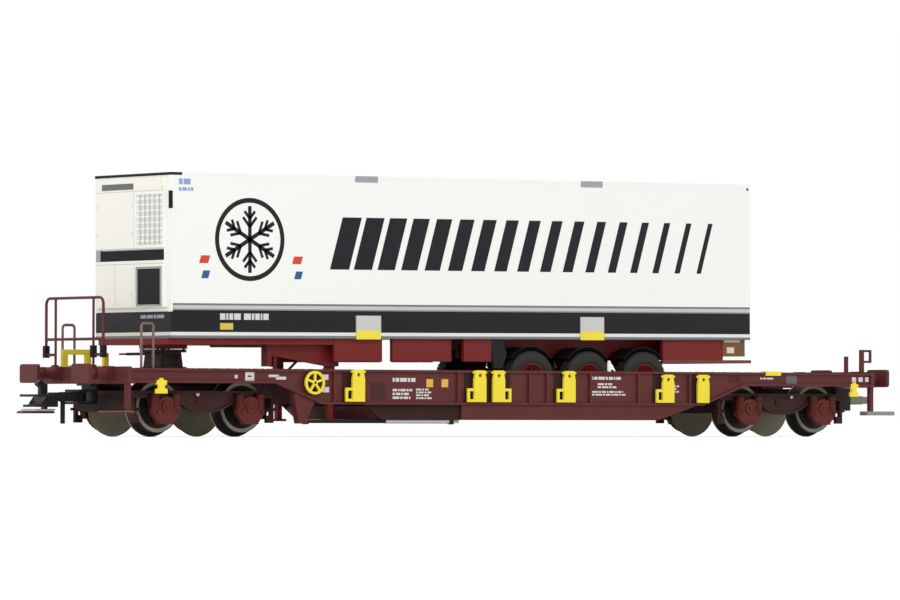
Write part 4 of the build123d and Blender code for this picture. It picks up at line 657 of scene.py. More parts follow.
def unit_openings():
    """The unit's slot with its slats and its lower opening, drawn black as painted shade for their insides,
    and the frames about them.
    """
    rear = UNIT_FRONT + 0.31
    slot_low, slats, slat_pitch, slat = 16.3, 5, 0.42, 0.16
    # The openings are filled with black: painted shade for their insides.
    dark = bmesh.new()
    bar(dark, UNIT_FRONT + 0.05, rear, -13.0, 11.3, 16.05, 18.2)
    for number in range(slats):
        z = slot_low + number * slat_pitch
        bar(dark, UNIT_FRONT - 0.02, UNIT_FRONT + 0.1, -12.9, 11.2, z, z + slat)
    bar(dark, UNIT_FRONT + 0.04, rear, -11.55, -3.0, 6.95, 14.3)
    box_piece("unit_dark_openings", dark, "shadow_black")

    edge = bmesh.new()
    for y0, y1, z0, z1 in (
        (-12.2, -11.55, 6.6, 14.6),
        (-3.0, -2.5, 6.6, 14.6),
        (-12.2, -2.5, 14.3, 14.75),
        (-12.2, -2.5, 6.55, 6.95),
        (11.3, 13.0, 16.05, 18.35),
    ):
        bar(edge, UNIT_FRONT - 0.04, UNIT_FRONT + 0.3, y0, y1, z0, z1)
    box_piece("unit_panel_frame", edge, "rail_grey", "grey_plastic", bevel=0.03)


def unit_panels():
    """The seams between the unit's panels, and the panels' latches."""
    half = 0.05
    face, root = UNIT_FRONT - 0.015, UNIT_FRONT + 0.05
    seams = bmesh.new()
    for z in (15.35, 18.55, 30.35):
        bar(seams, face, root, -13.1, 13.1, z - half, z + half)
    for y, z0, z1 in ((-1.7, 6.6, 15.3), (-1.7, 18.6, 30.3), (5.6, 6.6, 15.3)):
        bar(seams, face, root, y - half, y + half, z0, z1)
    box_piece("unit_panel_seams", seams, "seam_grey")

    out = UNIT_FRONT - 0.1
    places = ((12.3, 27.5), (12.3, 21.5), (-0.9, 27.5), (-0.9, 21.5), (12.3, 9.0), (-0.9, 9.0), (-12.6, 30.9))
    latches = bmesh.new()
    for y, z in places:
        bar(latches, out, UNIT_FRONT, y - 0.25, y + 0.25, z - 0.45, z + 0.45)
        dome(latches, (out, y, z), (-1, 0, 0), 0.16)
    box_piece("unit_latches", latches, "grille_cells", "grey_plastic", bevel=0.04)


def unit_marks():
    """The unit's blank strip over the grille, and grey dashes on the front's navy band."""
    strip = bmesh.new()
    bar(strip, UNIT_FRONT - 0.05, UNIT_FRONT + 0.02, -1.5, 10.6, 30.75, 32.0)
    box_piece("blank_name_strip", strip, "strip_grey")
    dashes = bmesh.new()
    for y0, y1 in ((-7.6, -5.4), (-5.1, -3.0), (-8.9, -8.0), (-11.9, -9.2)):
        bar(dashes, -BOX_END - PRINT, -BOX_END, y0, y1, 4.1, 4.8)
    box_piece("front_band_dashes", dashes, "grey_print")


DOOR_FACE = BOX_END - 0.1
DOOR_SILL, DOOR_HEADER = 1.45, BOX_TOP - 1.65


def door_lock_bars():
    """The doors' lock bars with their guides, cams and handles, and the hinges at the posts."""
    face = DOOR_FACE
    bar_radius = 0.24
    handle_reach = 2.5
    mesh = bmesh.new()
    for y in (-9.9, -3.4, 3.4, 9.9):
        tube(mesh, [(face + 0.35, y, 0.9), (face + 0.35, y, BOX_TOP - 0.7)], bar_radius)
        for z in (5.0, 12.5, 20.0, 27.5):
            bar(mesh, face, face + 0.5, y - 0.55, y + 0.55, z - 0.3, z + 0.3)
        for z in (1.0, BOX_TOP - 1.1):
            bar(mesh, face, face + 0.65, y - 0.5, y + 0.5, z - 0.4, z + 0.4)
        way = 1 if y < 0 else -1
        bar(mesh, face + 0.3, face + 0.6, y, y + way * handle_reach, 8.3, 8.8)
        bar(mesh, face, face + 0.7, y + way * 2.1, y + way * 2.7, 8.1, 9.0)
    for side in BOTH:
        for z in (4.0, 11.5, 19.0, 26.5, 31.2):
            bar(mesh, face + 0.02, face + 0.28, side * 11.4, side * 13.9, z - 0.4, z + 0.4)
            tube(mesh, [(face + 0.3, side * 13.2, z - 0.7), (face + 0.3, side * 13.2, z + 0.7)], 0.25)
    box_piece("door_lock_bars", mesh, "grey_plastic", "grey_plastic", bevel=0.03)


def door_seals():
    """The soft seals round the doors and between them."""
    sill, header = DOOR_SILL, DOOR_HEADER
    mesh = bmesh.new()
    for y0, y1, z0, z1 in (
        (-0.12, 0.12, sill, header),
        (-13.12, -12.9, sill, header),
        (12.9, 13.12, sill, header),
        (-13.1, 13.1, sill - 0.1, sill + 0.12),
        (-13.1, 13.1, header - 0.12, header + 0.1),
    ):
        bar(mesh, DOOR_FACE - 0.05, DOOR_FACE + 0.06, y0, y1, z0, z1)
    box_piece("door_seals", mesh, "seal_black")


def rear_lenses():
    """The domed lenses of the rear lamp blocks."""
    face = 74.6
    dome_profile = [(0.58, 0), (0.55, 0.16), (0.3, 0.26)]
    for name, material, places in (
        ("rear_red_lenses", "lamp_red", ((12.6, -1.2), (11.2, -1.2))),
        ("rear_amber_lenses", "lamp_amber", ((12.6, -2.5),)),
        ("rear_clear_lenses", "lamp_clear", ((11.2, -2.5),)),
    ):
        lens = bmesh.new()
        for side in BOTH:
            for y, z in places:
                turned(lens, (face, side * y, z), (1, 0, 0), dome_profile, 16)
        trailer_piece(name, lens, material, smooth=True)


# A road tyre's section as (radius, distance out from its inner face): its bead and inner wall, its tread
# with three grooves, its shoulder and its ribbed outer wall.
TREAD, GROOVE, BLOCK_TOP = 5.68, 5.6, 5.86
TYRE_SECTION = [
    (3.2, 0.4), (3.45, 0.12), (4.2, 0.0), (5.0, 0.1), (5.45, 0.34), (TREAD, 0.72),
    (TREAD, 1.12), (GROOVE, 1.16), (GROOVE, 1.3), (TREAD, 1.34),
    (TREAD, 1.9), (GROOVE, 1.94), (GROOVE, 2.08), (TREAD, 2.12),
    (TREAD, 2.68), (GROOVE, 2.72), (GROOVE, 2.86), (TREAD, 2.9),
    (TREAD, 3.3), (5.5, 3.62), (5.1, 3.86), (4.92, 3.9), (4.88, 3.96), (4.72, 3.97), (4.68, 3.92),
    (4.2, 3.99), (3.9, 3.96), (3.84, 3.9), (3.5, 3.86), (3.2, 3.66),
]
TREAD_ROWS = ((0.62, 1.12), (1.36, 1.88), (2.14, 2.66), (2.92, 3.4))
TREAD_BLOCKS = 46
BLOCK_SHARE = 0.36
WHEEL_NUTS = 10
NUT_CIRCLE = 1.9


def tread_blocks(mesh, x, z, side):
    """A tyre's rows of tread blocks, each row half a block on from the last."""
    half = BLOCK_SHARE * math.tau / TREAD_BLOCKS
    for row, (inner, outer) in enumerate(TREAD_ROWS):
        for step in range(TREAD_BLOCKS):
            turn = (step + 0.5 * (row % 2)) * math.tau / TREAD_BLOCKS
            outline = [
                (x + radius * math.sin(angle), side * (TYRE_INNER + inner), z + radius * math.cos(angle))
                for radius, angle in (
                    (GROOVE, turn - half),
                    (BLOCK_TOP, turn - half),
                    (BLOCK_TOP, turn + half),
                    (GROOVE, turn + half),
                )
            ]
            prism(mesh, outline, (0, side * (outer - inner), 0))


def road_wheel(mesh, x, z, side):
    """A road wheel's nuts, hub and rim edge."""
    out = (0, side, 0)
    for step in range(WHEEL_NUTS):
        turn = step * math.tau / WHEEL_NUTS
        spot = (x + NUT_CIRCLE * math.sin(turn), side * 13.2, z + NUT_CIRCLE * math.cos(turn))
        turned(mesh, spot, out, [(0.2, -0.1), (0.2, 0.3), (0.1, 0.42)], 6)
    turned(mesh, (x, side * 12.7, z), out, [(1.0, 0), (1.0, 0.7), (0.85, 0.9), (0.5, 1.0)], 24)
    ring(mesh, (x, side * 14.0, z), out, [(3.18, -0.2), (3.18, 0.06), (3.0, 0.1), (2.85, -0.1)], 48)


def road_axles():
    """The three road axles' tyres in place of the plain ones, and their wheels' nuts, hubs and rims."""
    for number, (x, z) in enumerate(AXLES, start=1):
        body = f"trailer_axle_{number}"
        tyre = bmesh.new()
        nuts = bmesh.new()
        for side in BOTH:
            ring(tyre, (x, side * TYRE_INNER, z), (0, side, 0), TYRE_SECTION, 64)
            tread_blocks(tyre, x, z, side)
            road_wheel(nuts, x, z, side)
        piece = trailer_piece(f"tyres_{number}", tyre, "tyre_rubber", "tyre_rubber", body, smooth=True)
        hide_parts(f"road_tyres_{number}")
        trailer_piece(f"rim_details_{number}", nuts, "trailer_red_plastic", body=body, smooth=True)


def road_springs():
    """The axles' air bellows and brake chambers, and their trailing arms and dampers."""
    bellows = [(0.9, 0), (1.15, 0.15), (1.3, 0.6), (1.15, 1.0), (1.3, 1.4), (1.15, 1.85), (0.9, 2.0)]
    chamber = [(0.9, 0), (1.1, 0.3), (1.1, 0.9), (0.9, 1.2)]
    arm_y, damper_y, chamber_y = 6.7, 4.6, 4.0
    arm_top, arm_foot, arm_half = -6.0, -6.7, 0.35
    springs = bmesh.new()
    arms = bmesh.new()
    for x, z in AXLES:
        for side in BOTH:
            y = side * arm_y
            turned(springs, (x + 4.4, y, arm_top), (0, 0, 1), bellows, 20)
            turned(springs, (x - 2.2, side * chamber_y, z + 1.0), (1, 0, 0), chamber, 20)
            bar(arms, x + 0.9, x + 5.6, y - arm_half, y + arm_half, arm_foot, arm_top)
            tube(arms, [(x - 0.6, side * damper_y, z + 2.2), (x - 3.4, side * damper_y, -2.2)], 0.35)
    trailer_piece("air_springs", springs, "seal_black", "tyre_rubber", smooth=True)
    trailer_piece("axle_arms", arms, "trailer_red_plastic", bevel=0.04)


def chassis_shaft_and_braces():
    """The legs' winding shaft, their braces and collars, and the bolts along the neck."""
    leg_x = -32.9
    leg_side = 8.8
    bolt_start, bolt_pitch, bolts = -58, 2.6, 9
    mesh = bmesh.new()
    tube(mesh, [(leg_x, -leg_side, -7.0), (leg_x, leg_side, -7.0)], 0.3)
    for side in BOTH:
        tube(mesh, [(leg_x, side * leg_side, -8.2), (leg_x + 3.6, side * 5.0, -3.0)], 0.28)
        bar(mesh, leg_x - 0.6, leg_x + 0.6, side * 8.0, side * 8.9, -8.0, -6.2)
        for z in (-9.2, -12.6):
            bar(mesh, leg_x - 0.72, leg_x + 0.72, side * 8.88, side * 10.32, z - 0.2, z + 0.2)
        for step in range(bolts):
            dome(mesh, (bolt_start + step * bolt_pitch, side * 13.4, -0.7), (0, side, 0), 0.14, 6)
    trailer_piece("chassis_shaft_and_braces", mesh, "trailer_red_plastic")


def side_panel_edges():
    """The folded edges of the side panels, and the cream patches on the lamp blocks."""
    film, fold = 0.06, 0.3
    panels = bmesh.new()
    patches = bmesh.new()
    for side in BOTH:
        y0, y1 = side * PANEL_SIDE, side * (PANEL_SIDE + film)
        for x0, x1, depth in ((-34.3, -22.1, 4.8), (-19.48, -4.29, 4.8), (52.0, 68.5, 4.4)):
            bar(panels, x0, x1, y0, y1, -depth, -depth + fold)
            bar(panels, x0, x0 + fold, y0, y1, -depth + fold, -0.2)
            bar(panels, x1 - fold, x1, y0, y1, -depth + fold, -0.2)
        bar(patches, 69.6, 71.6, y0, y1, -2.9, -1.6)
        bar(patches, 68.9, 73.2, y0, y1, -0.5, -0.1)
    trailer_piece("side_panel_edges", panels, "trailer_red_plastic", bevel=0.02)
    trailer_piece("lamp_block_patches", patches, "lamp_cream")


def landing_gear():
    """The landing gear's frame, open at its front, in place of the plain one: cheeks, posts and bars."""
    front, leg_front, leg_rear = -49.6, -34.4, -31.6
    inner, outer = 10.45, 11.25
    top, foot = -1.3, -5.8
    post = 1.2
    brow, slope_start = 0.4, -3.6
    cheek = [(front, top), (front, foot), (front + post, foot), (front + post, slope_start),
             (leg_front, foot), (leg_rear, foot), (leg_rear, top)]
    mesh = bmesh.new()
    prism(mesh, [(x, -inner, z) for x, z in cheek], (0, inner - outer, 0))
    bar(mesh, front, front + post, -inner, -9.0, foot, top)
    bar(mesh, front, leg_rear, -inner, -9.4, top - 0.6, top)
    bar(mesh, leg_front + 0.4, leg_rear, inner, outer, foot, top)
    bar(mesh, front, front + post, -9.0, 10.4, top - brow, top)
    bar(mesh, front, leg_rear, 9.4, inner, top - brow, top)
    bar(mesh, -33.5, -32.3, -outer, outer, -3.2, top)
    piece = trailer_piece("landing_gear_open_frame", mesh, "trailer_red_plastic", bevel=0.05)
    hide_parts("landing_gear_frame")


def mudguards():
    """Arches with rolled outer edges over the axles, and the black guard in front of them."""
    start, end, steps = 40, 140, 24
    front_foot, front_side = {-1: -6.2, 1: -4.8}, 12.4
    mesh = bmesh.new()
    for x, z in AXLES:
        for side in BOTH:
            for low, high, inner, outer in ((6.35, 6.7, 7.2, 13.5), (6.3, 6.85, 13.3, 13.5)):
                inside = arc(x, z, start, end, low, steps, side * inner)
                outside = arc(x, z, start, end, high, steps, side * inner)
                prism(mesh, inside + outside[::-1], (0, side * (outer - inner), 0))
    for side in BOTH:
        foot = front_foot[side]
        guard = [(6.2, 0), (9.2, 0), (10.3, -3.2), (9.2, foot), (6.8, foot)]
        prism(mesh, [(x, side * front_side, z) for x, z in guard], (0, side, 0))
    piece = trailer_piece("mudguard_arches", mesh, "black_plastic", "black_plastic")
    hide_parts("mudguards")


def third_side_panels():
    """The red panel between the black guard and the second side panel, on its two arms."""
    inner = 12.6
    arm_root, arm_tip, arm_depth = 7.2, 12.7, -1.2
    mesh = bmesh.new()
    for side in BOTH:
        bar(mesh, -1.0, 6.2, side * inner, side * PANEL_SIDE, -4.8, 0)
        for x0, x1 in ((0.6, 1.8), (3.8, 5.0)):
            bar(mesh, x0, x1, side * arm_root, side * arm_tip, arm_depth, 0)
    trailer_piece("third_side_panels", mesh, "trailer_red_plastic", bevel=0.05)


# Marks on the sills as x from and to, height over the rail from and to. The first have rows of dashes.
DASH_TABLES = (
    (-32.0, -26.0, 10.7, 12.0, 1),
    (-32.0, -27.0, 7.1, 9.5, 3),
    (-26.0, -22.0, 7.1, 9.5, 4),
    (19.9, 27.8, 11.4, 12.4, 1),
    (21.6, 26.6, 9.6, 10.9, 2),
    (19.9, 29.1, 8.0, 9.2, 2),
    (41.0, 43.6, 8.7, 10.5, 3),
    (66.0, 70.0, 11.7, 12.3, 1),
)
PALE_PLATES = (
    (-71.6, -70.9, 11.2, 11.9),
    (-97.4, -96.8, 11.4, 12.2),
    (91.8, 93.0, 11.3, 12.3),
    (93.7, 94.9, 11.3, 12.3),
    (95.6, 96.6, 11.3, 12.3),
    (-49.9, -48.3, 11.0, 12.1),
    (-49.9, -48.1, 8.4, 9.5),
    (-63.2, -60.7, 11.5, 12.0),
    (-61.4, -58.9, 11.0, 11.6),
    (-69.0, -66.8, 10.7, 12.5),
)
OCHRE_PLATES = (
    (-23.35, -21.65, 9.6, 11.3),
    (-19.45, -17.75, 9.6, 11.3),
)
DARK_DASH = (-68.4, -67.5, 11.5, 11.8)
GREY_PLATE = (73.2, 76.2, 10.7, 12.6)
DASH_SHARE = 0.62
SHORT_ROW = 0.7


def sill_plate(mesh, side, plate, face=WEB_SIDE):
    """A blank plate on a sill's web."""
    x0, x1, z0, z1 = plate
    side_print(mesh, rectangle(x0, x1, RAIL + z0, RAIL + z1), side, face)


def sill_marks(side):
    """The marks of one side: blank ochre, pale and grey plates, and tables of small print as dashes."""
    ochre, dark, pale, grey = (bmesh.new() for _ in range(4))
    for plate in OCHRE_PLATES:
        sill_plate(ochre, side, plate)
    for x0, x1, z0, z1, rows in DASH_TABLES:
        pitch = (z1 - z0) / rows
        for row in range(rows):
            low = RAIL + z0 + row * pitch
            end = x1 - SHORT_ROW * (row % 2)
            dashed_row(pale, x0, end, low, low + pitch * DASH_SHARE, side, WEB_SIDE, start=row + rows)
    for plate in PALE_PLATES:
        sill_plate(pale, side, plate)
    sill_plate(dark, side, DARK_DASH, WEB_SIDE + PRINT)
    sill_plate(grey, side, GREY_PLATE)
    name = "near" if side < 0 else "far"
    wagon_piece(f"blank_ochre_plates_{name}", ochre, "ochre_print")
    wagon_piece(f"dark_dash_{name}", dark, "shadow_black")
    wagon_piece(f"wagon_dashes_{name}", pale, "pale_print")
    wagon_piece(f"blank_plate_{name}", grey, "dull_grey_print")


# The folding lugs: place along the sill, the side that the loop hangs to, and how far it drops.
LUGS = ((-41.3, -1, 0.0), (-10.1, -1, 0.0), (-5.2, 1, 0.0), (13.4, -1, 0.0), (40.0, -1, 0.6), (49.6, 0, 0.6))
BOLT = 0.13


def lug_fittings():
    """Dark brown plates beside the lugs, painted shade for the recesses behind them, and the lugs' yellow
    hinge pins.
    """
    pin_side, pin_half, pin_drop = 17.3, 1.75, 0.45
    recess_shade = bmesh.new()
    pins = bmesh.new()
    for side in BOTH:
        for x, loop, drop in LUGS:
            way = loop or -1
            y0, y1 = side * WEB_SIDE, side * (WEB_SIDE + 0.05)
            # A dark brown plate on the web beside each lug: painted shade for the recess behind it.
            bar(recess_shade, x + way * 3.6, x - way * 2.3, y0, y1, RAIL + 6.5, RAIL + 12.7)
            z = DECK - drop - pin_drop
            tube(pins, [(x - pin_half, side * pin_side, z), (x + pin_half, side * pin_side, z)], 0.26)
    wagon_piece("lug_recess_shade", recess_shade, "shaded_brown")
    wagon_piece("lug_hinge_pins", pins, "yellow_plastic", "yellow_plastic", smooth=True)


def sill_hatches():
    """The sills' two blank hatches, drawn a darker brown than the sill as painted shade."""
    mesh = bmesh.new()
    for side in BOTH:
        y0, y1 = side * WEB_SIDE, side * (WEB_SIDE + 0.12)
        bar(mesh, -37.4, -33.8, y0, y1, RAIL + 7.1, RAIL + 10.4)
        bar(mesh, 57.4, 60.4, y0, y1, RAIL + 11.0, RAIL + 12.4)
    wagon_piece("sill_hatches", mesh, "hatch_brown", bevel=0.03)


def sill_bolts():
    """The bolts at the lugs and along the sills."""
    bolts = bmesh.new()
    for side in BOTH:
        out = (0, side, 0)
        y = side * WEB_SIDE
        for x, _, _ in LUGS:
            for end in BOTH:
                dome(bolts, (x + end * 2.1, y, RAIL + 12.3), out, 0.2)
        for number in range(29):
            dome(bolts, (-46.0 + number * 3.3, y, RAIL + 6.75), out, BOLT, 6)
        for end in BOTH:
            for number in range(11):
                dome(bolts, (end * (64.0 + number * 3.1), y, RAIL + 10.95), out, BOLT, 6)
    wagon_piece("sill_bolts", bolts, bevel=0.03)


def sill_marker_post():
    """The small white post on the near sill."""
    mesh = bmesh.new()
    turned(mesh, (24.6, -16.6, DECK - 0.1), (0, 0, 1), [(0.42, 0), (0.42, 1.9), (0.3, 2.3), (0.2, 2.4)], 12)
    wagon_piece("sill_marker_post", mesh, "plain_white", smooth=True)


# A folded spigot from its middle outwards, as (share of its half width, height), with a narrow waist.
SPIGOT_SIDE = ((1.0, 8.9), (1.0, 9.8), (0.55, 10.0), (0.55, 10.6), (0.9, 10.8), (0.9, 11.6))
SPIGOT_NECK = ((0.4, 11.7), (0.4, 12.1))


def folded_spigot(mesh, x, half):
    """A spigot folded over the near sill, with its root on the deck."""
    side = [(half * share, z) for share, z in SPIGOT_SIDE]
    neck = list(SPIGOT_NECK) if half > 0 else []
    right = [(x + a, z) for a, z in side + neck]
    left = [(x - a, z) for a, z in side + neck]
    prism(mesh, [(a, -17.05, z) for a, z in right + left[::-1]], (0, 0.6, 0))
    bar(mesh, x - half * 0.5, x + half * 0.5, -16.6, -15.9, 9.0, 9.9)


def spigots():
    """The deck spigots: two folded over the near sill, one upright and one flat on the far side."""
    mesh = bmesh.new()
    for x, half in ((-89.7, 1.4), (92.2, 1.2)):
        folded_spigot(mesh, x, half)
    low, high = -94.6, -87.6
    post, brow = 1.3, 17.0
    for x0, x1, z0, z1 in ((low, low + post, DECK, brow), (high - post, high, DECK, brow),
                           (low, high, brow, 18.1), (low + post, high - post, DECK, DECK + 0.7)):
        bar(mesh, x0, x1, 13.4, 14.3, z0, z1)
    bar(mesh, 89.4, 94.6, 11.5, 15.3, DECK, DECK + 0.25)
    bar(mesh, 67.2, 71.4, -17.06, -15.4, DECK - 0.7, DECK + 0.25)
    piece = wagon_piece("folding_spigots", mesh, "yellow_plastic", "yellow_plastic", bevel=0.06)
    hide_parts("deck_spigots")


def handwheel_backs():
    """A gear case behind each handwheel in the darkened brown, painted shade that the wheel's openings show,
    and the nut on its hub.
    """
    x, z = -52.4, RAIL + 10.4
    hub_face = 17.75
    cases = bmesh.new()
    nuts = bmesh.new()
    for side in BOTH:
        turned(cases, (x, side * WEB_SIDE, z), (0, side, 0), [(2.2, 0), (2.2, 0.6), (2.1, 0.7)], 24)
        turned(nuts, (x, side * hub_face, z), (0, side, 0), [(0.5, 0), (0.5, 0.03), (0.3, 0.05)], 6)
    # The cases' dark brown is painted shade behind the handwheels' openings.
    wagon_piece("handwheel_gear_cases", cases, "shaded_brown", smooth=True)
    wagon_piece("handwheel_nuts", nuts, "yellow_plastic", "yellow_plastic")


def deck_tread():
    """Rolled lozenges on both end decks, clear of their openings."""
    pitch = 1.7
    start, stop = 51.2, 96.2
    length, width, slant, height = 0.45, 0.12, 0.35, 0.06
    openings = (59.5, 85.0)
    opening_half, opening_near, opening_far = 4.8, 5.2, 13.6
    mesh = bmesh.new()
    for end in BOTH:
        for row in range(-9, 10):
            for number in range(27):
                x = start + number * pitch + 0.5 * pitch * (row % 2)
                y = row * pitch
                beside = opening_near < abs(y) < opening_far
                if x > stop or beside and any(abs(x - middle) < opening_half for middle in openings):
                    continue
                lean = slant if (row + number) % 2 else -slant
                corners = [(x - length, y - lean), (x, y - width), (x + length, y + lean), (x, y + width)]
                prism(mesh, [(end * a, b, DECK) for a, b in corners], (0, 0, height))
    wagon_piece("deck_tread", mesh, "deck_brown")


BUFFER_SIDE = 10.05
BUFFER_Z = RAIL + 12.1


def buffer_bolts():
    """The buffers' bolts and sleeve rings, and rivets along the headstocks."""
    base_face = 98.6
    sleeve = [(1.42, 0), (1.42, 0.25), (1.1, 0.25), (1.1, 0)]
    mesh = bmesh.new()
    for end in BOTH:
        out = (end, 0, 0)
        for side in BOTH:
            y = side * BUFFER_SIDE
            for dy in (-1.35, 1.35):
                for dz in (-1.15, 1.15):
                    dome(mesh, (end * base_face, y + dy, BUFFER_Z + dz), out, 0.2)
            for along in (1.2, 3.4):
                ring(mesh, (end * (END_X + along), y, BUFFER_Z), out, sleeve, 20)
            for number in range(4):
                dome(mesh, (end * END_X, side * (4.0 + number * 0.9), RAIL + 12.9), out, 0.15, 6)
    wagon_piece("buffer_bolts", mesh)


def railing_clamps():
    """The black clamps on the railing's posts and the feet that hold it on the deck."""
    x = -END_X + 0.5
    half = 0.55
    clamps = bmesh.new()
    for y in (-6.8, -3.0, 15.4):
        block(clamps, x, y, RAIL + 15.4, RAIL + 17.9, half)
        dome(clamps, (x - half, y, RAIL + 16.8), (-1, 0, 0), 0.2)
    wagon_piece("railing_clamps", clamps, "shadow_black", bevel=0.08)
    feet = bmesh.new()
    for y in (-3.0, 11.7):
        bar(feet, x - 0.7, x + 0.5, y - 0.5, y + 0.5, RAIL + 13.4, RAIL + 13.9)
    wagon_piece("railing_feet", feet)


def step_treads():
    """Grey treads on the corner steps. The near right step is a thicker board."""
    mesh = bmesh.new()
    for side, end in ((-1, -1), (1, -1), (1, 1)):
        bar(mesh, end * 96.1, end * 103.4, side * 14.6, side * 16.7, RAIL + 4.3, RAIL + 4.42)
    bar(mesh, 95.85, 103.65, -16.95, -14.35, RAIL + 3.86, RAIL + 4.75)
    wagon_piece("step_treads", mesh, "step_grey")


def far_deck_stop():
    """The yellow stop on the far side of the left deck."""
    x = -83.3
    mesh = bmesh.new()
    bar(mesh, x - 1.2, x, 13.4, 14.3, DECK, DECK + 3.3)
    bar(mesh, x - 2.8, x, 13.5, 14.2, DECK, DECK + 0.6)
    wagon_piece("far_deck_stop", mesh, "yellow_plastic", "yellow_plastic", bevel=0.06)


def stub_cap():
    """The olive grey cover of the right coupling's shank, with its collar."""
    mesh = bmesh.new()
    bar(mesh, 103.2, 108.86, -1.64, 1.64, RAIL + 6.46, RAIL + 8.04)
    bar(mesh, 105.2, 107.2, -1.5, 1.5, RAIL + 6.3, RAIL + 8.2)
    wagon_piece("stub_cap", mesh, "stub_grey", "black_plastic", bevel=0.08)


ROD_Y = -15.2
ROD_Z = RAIL + 2.35


def brake_rod_dress():
    """The brake rod's black sleeve and its bright tube."""
    joint = -33.0
    start, end = -53.3, -16.6
    sleeve = bmesh.new()
    bar(sleeve, start, joint, ROD_Y - 0.36, ROD_Y + 0.36, ROD_Z - 0.36, ROD_Z + 0.36)
    wagon_piece("brake_rod_sleeve", sleeve, "shadow_black", "black_plastic", bevel=0.1)
    bright = bmesh.new()
    bar(bright, joint, end, ROD_Y - 0.4, ROD_Y + 0.4, ROD_Z - 0.42, ROD_Z + 0.42)
    wagon_piece("brake_rod_tube", bright, "bright_wire", "bright_wire", bevel=0.15)


def rod_and_hitch_fittings():
    """The brake rod's collars, the hitch plate's bolts, its lever's grip and its pedestal's feet."""
    lever_x = HITCH_X - 2.0
    plate_top = DECK + 4.0
    mesh = bmesh.new()
    for x in (-53.6, -16.6):
        bar(mesh, x, x + 0.9, ROD_Y - 0.6, ROD_Y + 0.6, ROD_Z - 0.6, ROD_Z + 0.6)
    for dx in (-3.2, 3.2):
        for y in (-2.9, 2.9):
            turned(mesh, (HITCH_X + dx, y, plate_top), (0, 0, 1), [(0.3, 0), (0.3, 0.14), (0.2, 0.18)], 6)
    bar(mesh, lever_x - 0.35, lever_x + 0.35, 10.6, 13.4, RAIL + 16.1, RAIL + 16.5)
    for y in (-2.6, 0, 2.6):
        for dx in (-3.3, 3.3):
            block(mesh, HITCH_X + dx, y, DECK, DECK + 0.4, 0.5)
    wagon_piece("rod_and_hitch_fittings", mesh, "black_plastic", "black_plastic", bevel=0.04)


FRAME_FACE = 12.2
RIVET = 0.12
SPRING_SIDE = 13.05
SPRING_OFFSET = 2.5
SPRING_FOOT, SPRING_HEIGHT = RAIL + 4.75, 3.1
SPRING_CAP = [(1.0, 0), (1.0, 0.25), (0.5, 0.35)]
GUARD_END = 17.5


def axlebox_dress(coils, covers, rivets, axle, face):
    """One axlebox: its coils and their caps, its bolted cover, its rib and the rivets beside it."""
    out = (0, face, 0)
    for offset in (-SPRING_OFFSET, SPRING_OFFSET):
        x = axle + offset
        spring(coils, (x, face * SPRING_SIDE, SPRING_FOOT), SPRING_HEIGHT, radius=0.86, wire=0.17, turns=5)
        turned(rivets, (x, face * SPRING_SIDE, RAIL + 7.75), (0, 0, 1), SPRING_CAP, 12)
        bar(rivets, x - 0.18, x + 0.18, face * 13.6, face * 14.0, RAIL + 4.0, RAIL + 4.8)
    ring(covers, (axle, face * 13.68, WHEEL_Z), out, [(1.2, 0), (1.2, 0.1), (0.95, 0.1), (0.95, 0)], 24)
    for step in range(4):
        turn = math.radians(45 + 90 * step)
        spot = (axle + 1.35 * math.cos(turn), face * 13.5, WHEEL_Z + 1.55 * math.sin(turn))
        dome(covers, spot, out, 0.17)
    bar(covers, axle - 1.75, axle + 1.75, face * FRAME_FACE, face * 13.75, RAIL + 1.75, RAIL + 2.15)
    dome(covers, (axle, face * 13.72, WHEEL_Z), out, 0.45, 12)
    for step in range(5):
        for way in BOTH:
            x = axle + way * (2.75 + 0.12 * step)
            dome(rivets, (x, face * FRAME_FACE, RAIL + 4.0 + step * 0.85), out, RIVET, 6)


def frame_rivets(mesh, centre, face):
    """The rivets along a side frame's top and its curved belly, and the strap at its middle."""
    out = (0, face, 0)
    y = face * FRAME_FACE
    for number in range(21):
        dome(mesh, (centre - 16.6 + number * 1.66, y, RAIL + 7.7), out, RIVET, 6)
    for step in range(-5, 6):
        along = step * 1.15
        dome(mesh, (centre + along, y, RAIL + 4.8 + 0.0385 * along ** 2), out, RIVET, 6)
    bar(mesh, centre - 2.2, centre + 2.2, y, face * 12.45, RAIL + 6.0, RAIL + 7.4)


def guard_irons(mesh, centre, face):
    """The hanging irons at both ends of a side frame, each with its foot and its cross pin."""
    inner, outer = face * 10.4, face * 11.2
    for way in BOTH:
        elbow = centre + way * (GUARD_END - 0.8)
        bar(mesh, elbow, centre + way * GUARD_END, inner, outer, RAIL + 2.0, RAIL + 7.8)
        bar(mesh, centre + way * 15.7, elbow, inner, outer, RAIL + 2.0, RAIL + 3.6)
        pin = [(centre + way * along, face * 10.8, RAIL + 4.8) for along in (15.2, 18.3)]
        tube(mesh, pin, 0.3)


def inner_beams(body, centre):
    """The bogie's end beams and the two beams along it, with their feet."""
    beam_inner, beam_outer = 5.2, 6.2
    reach = 16.4
    foot_z, seat_z = RAIL + 4.3, RAIL + 6.9
    mesh = bmesh.new()
    for way in BOTH:
        bar(mesh, centre + way * 16.35, centre + way * GUARD_END, -10.4, 10.4, foot_z, RAIL + 8.0)
        y0, y1 = way * beam_inner, way * beam_outer
        bar(mesh, centre - reach, centre + reach, y0, y1, seat_z, RAIL + 9.7)
        for near in BOTH:
            bar(mesh, centre + near * 14.6, centre + near * reach, y0, y1, foot_z, seat_z)
    # The beams take the darkened brown: painted shade for their place inside the bogie.
    finish(f"{body}_inner_beams", mesh, "shaded_brown", body, "bogie_brown_plastic", bevel=0.05)


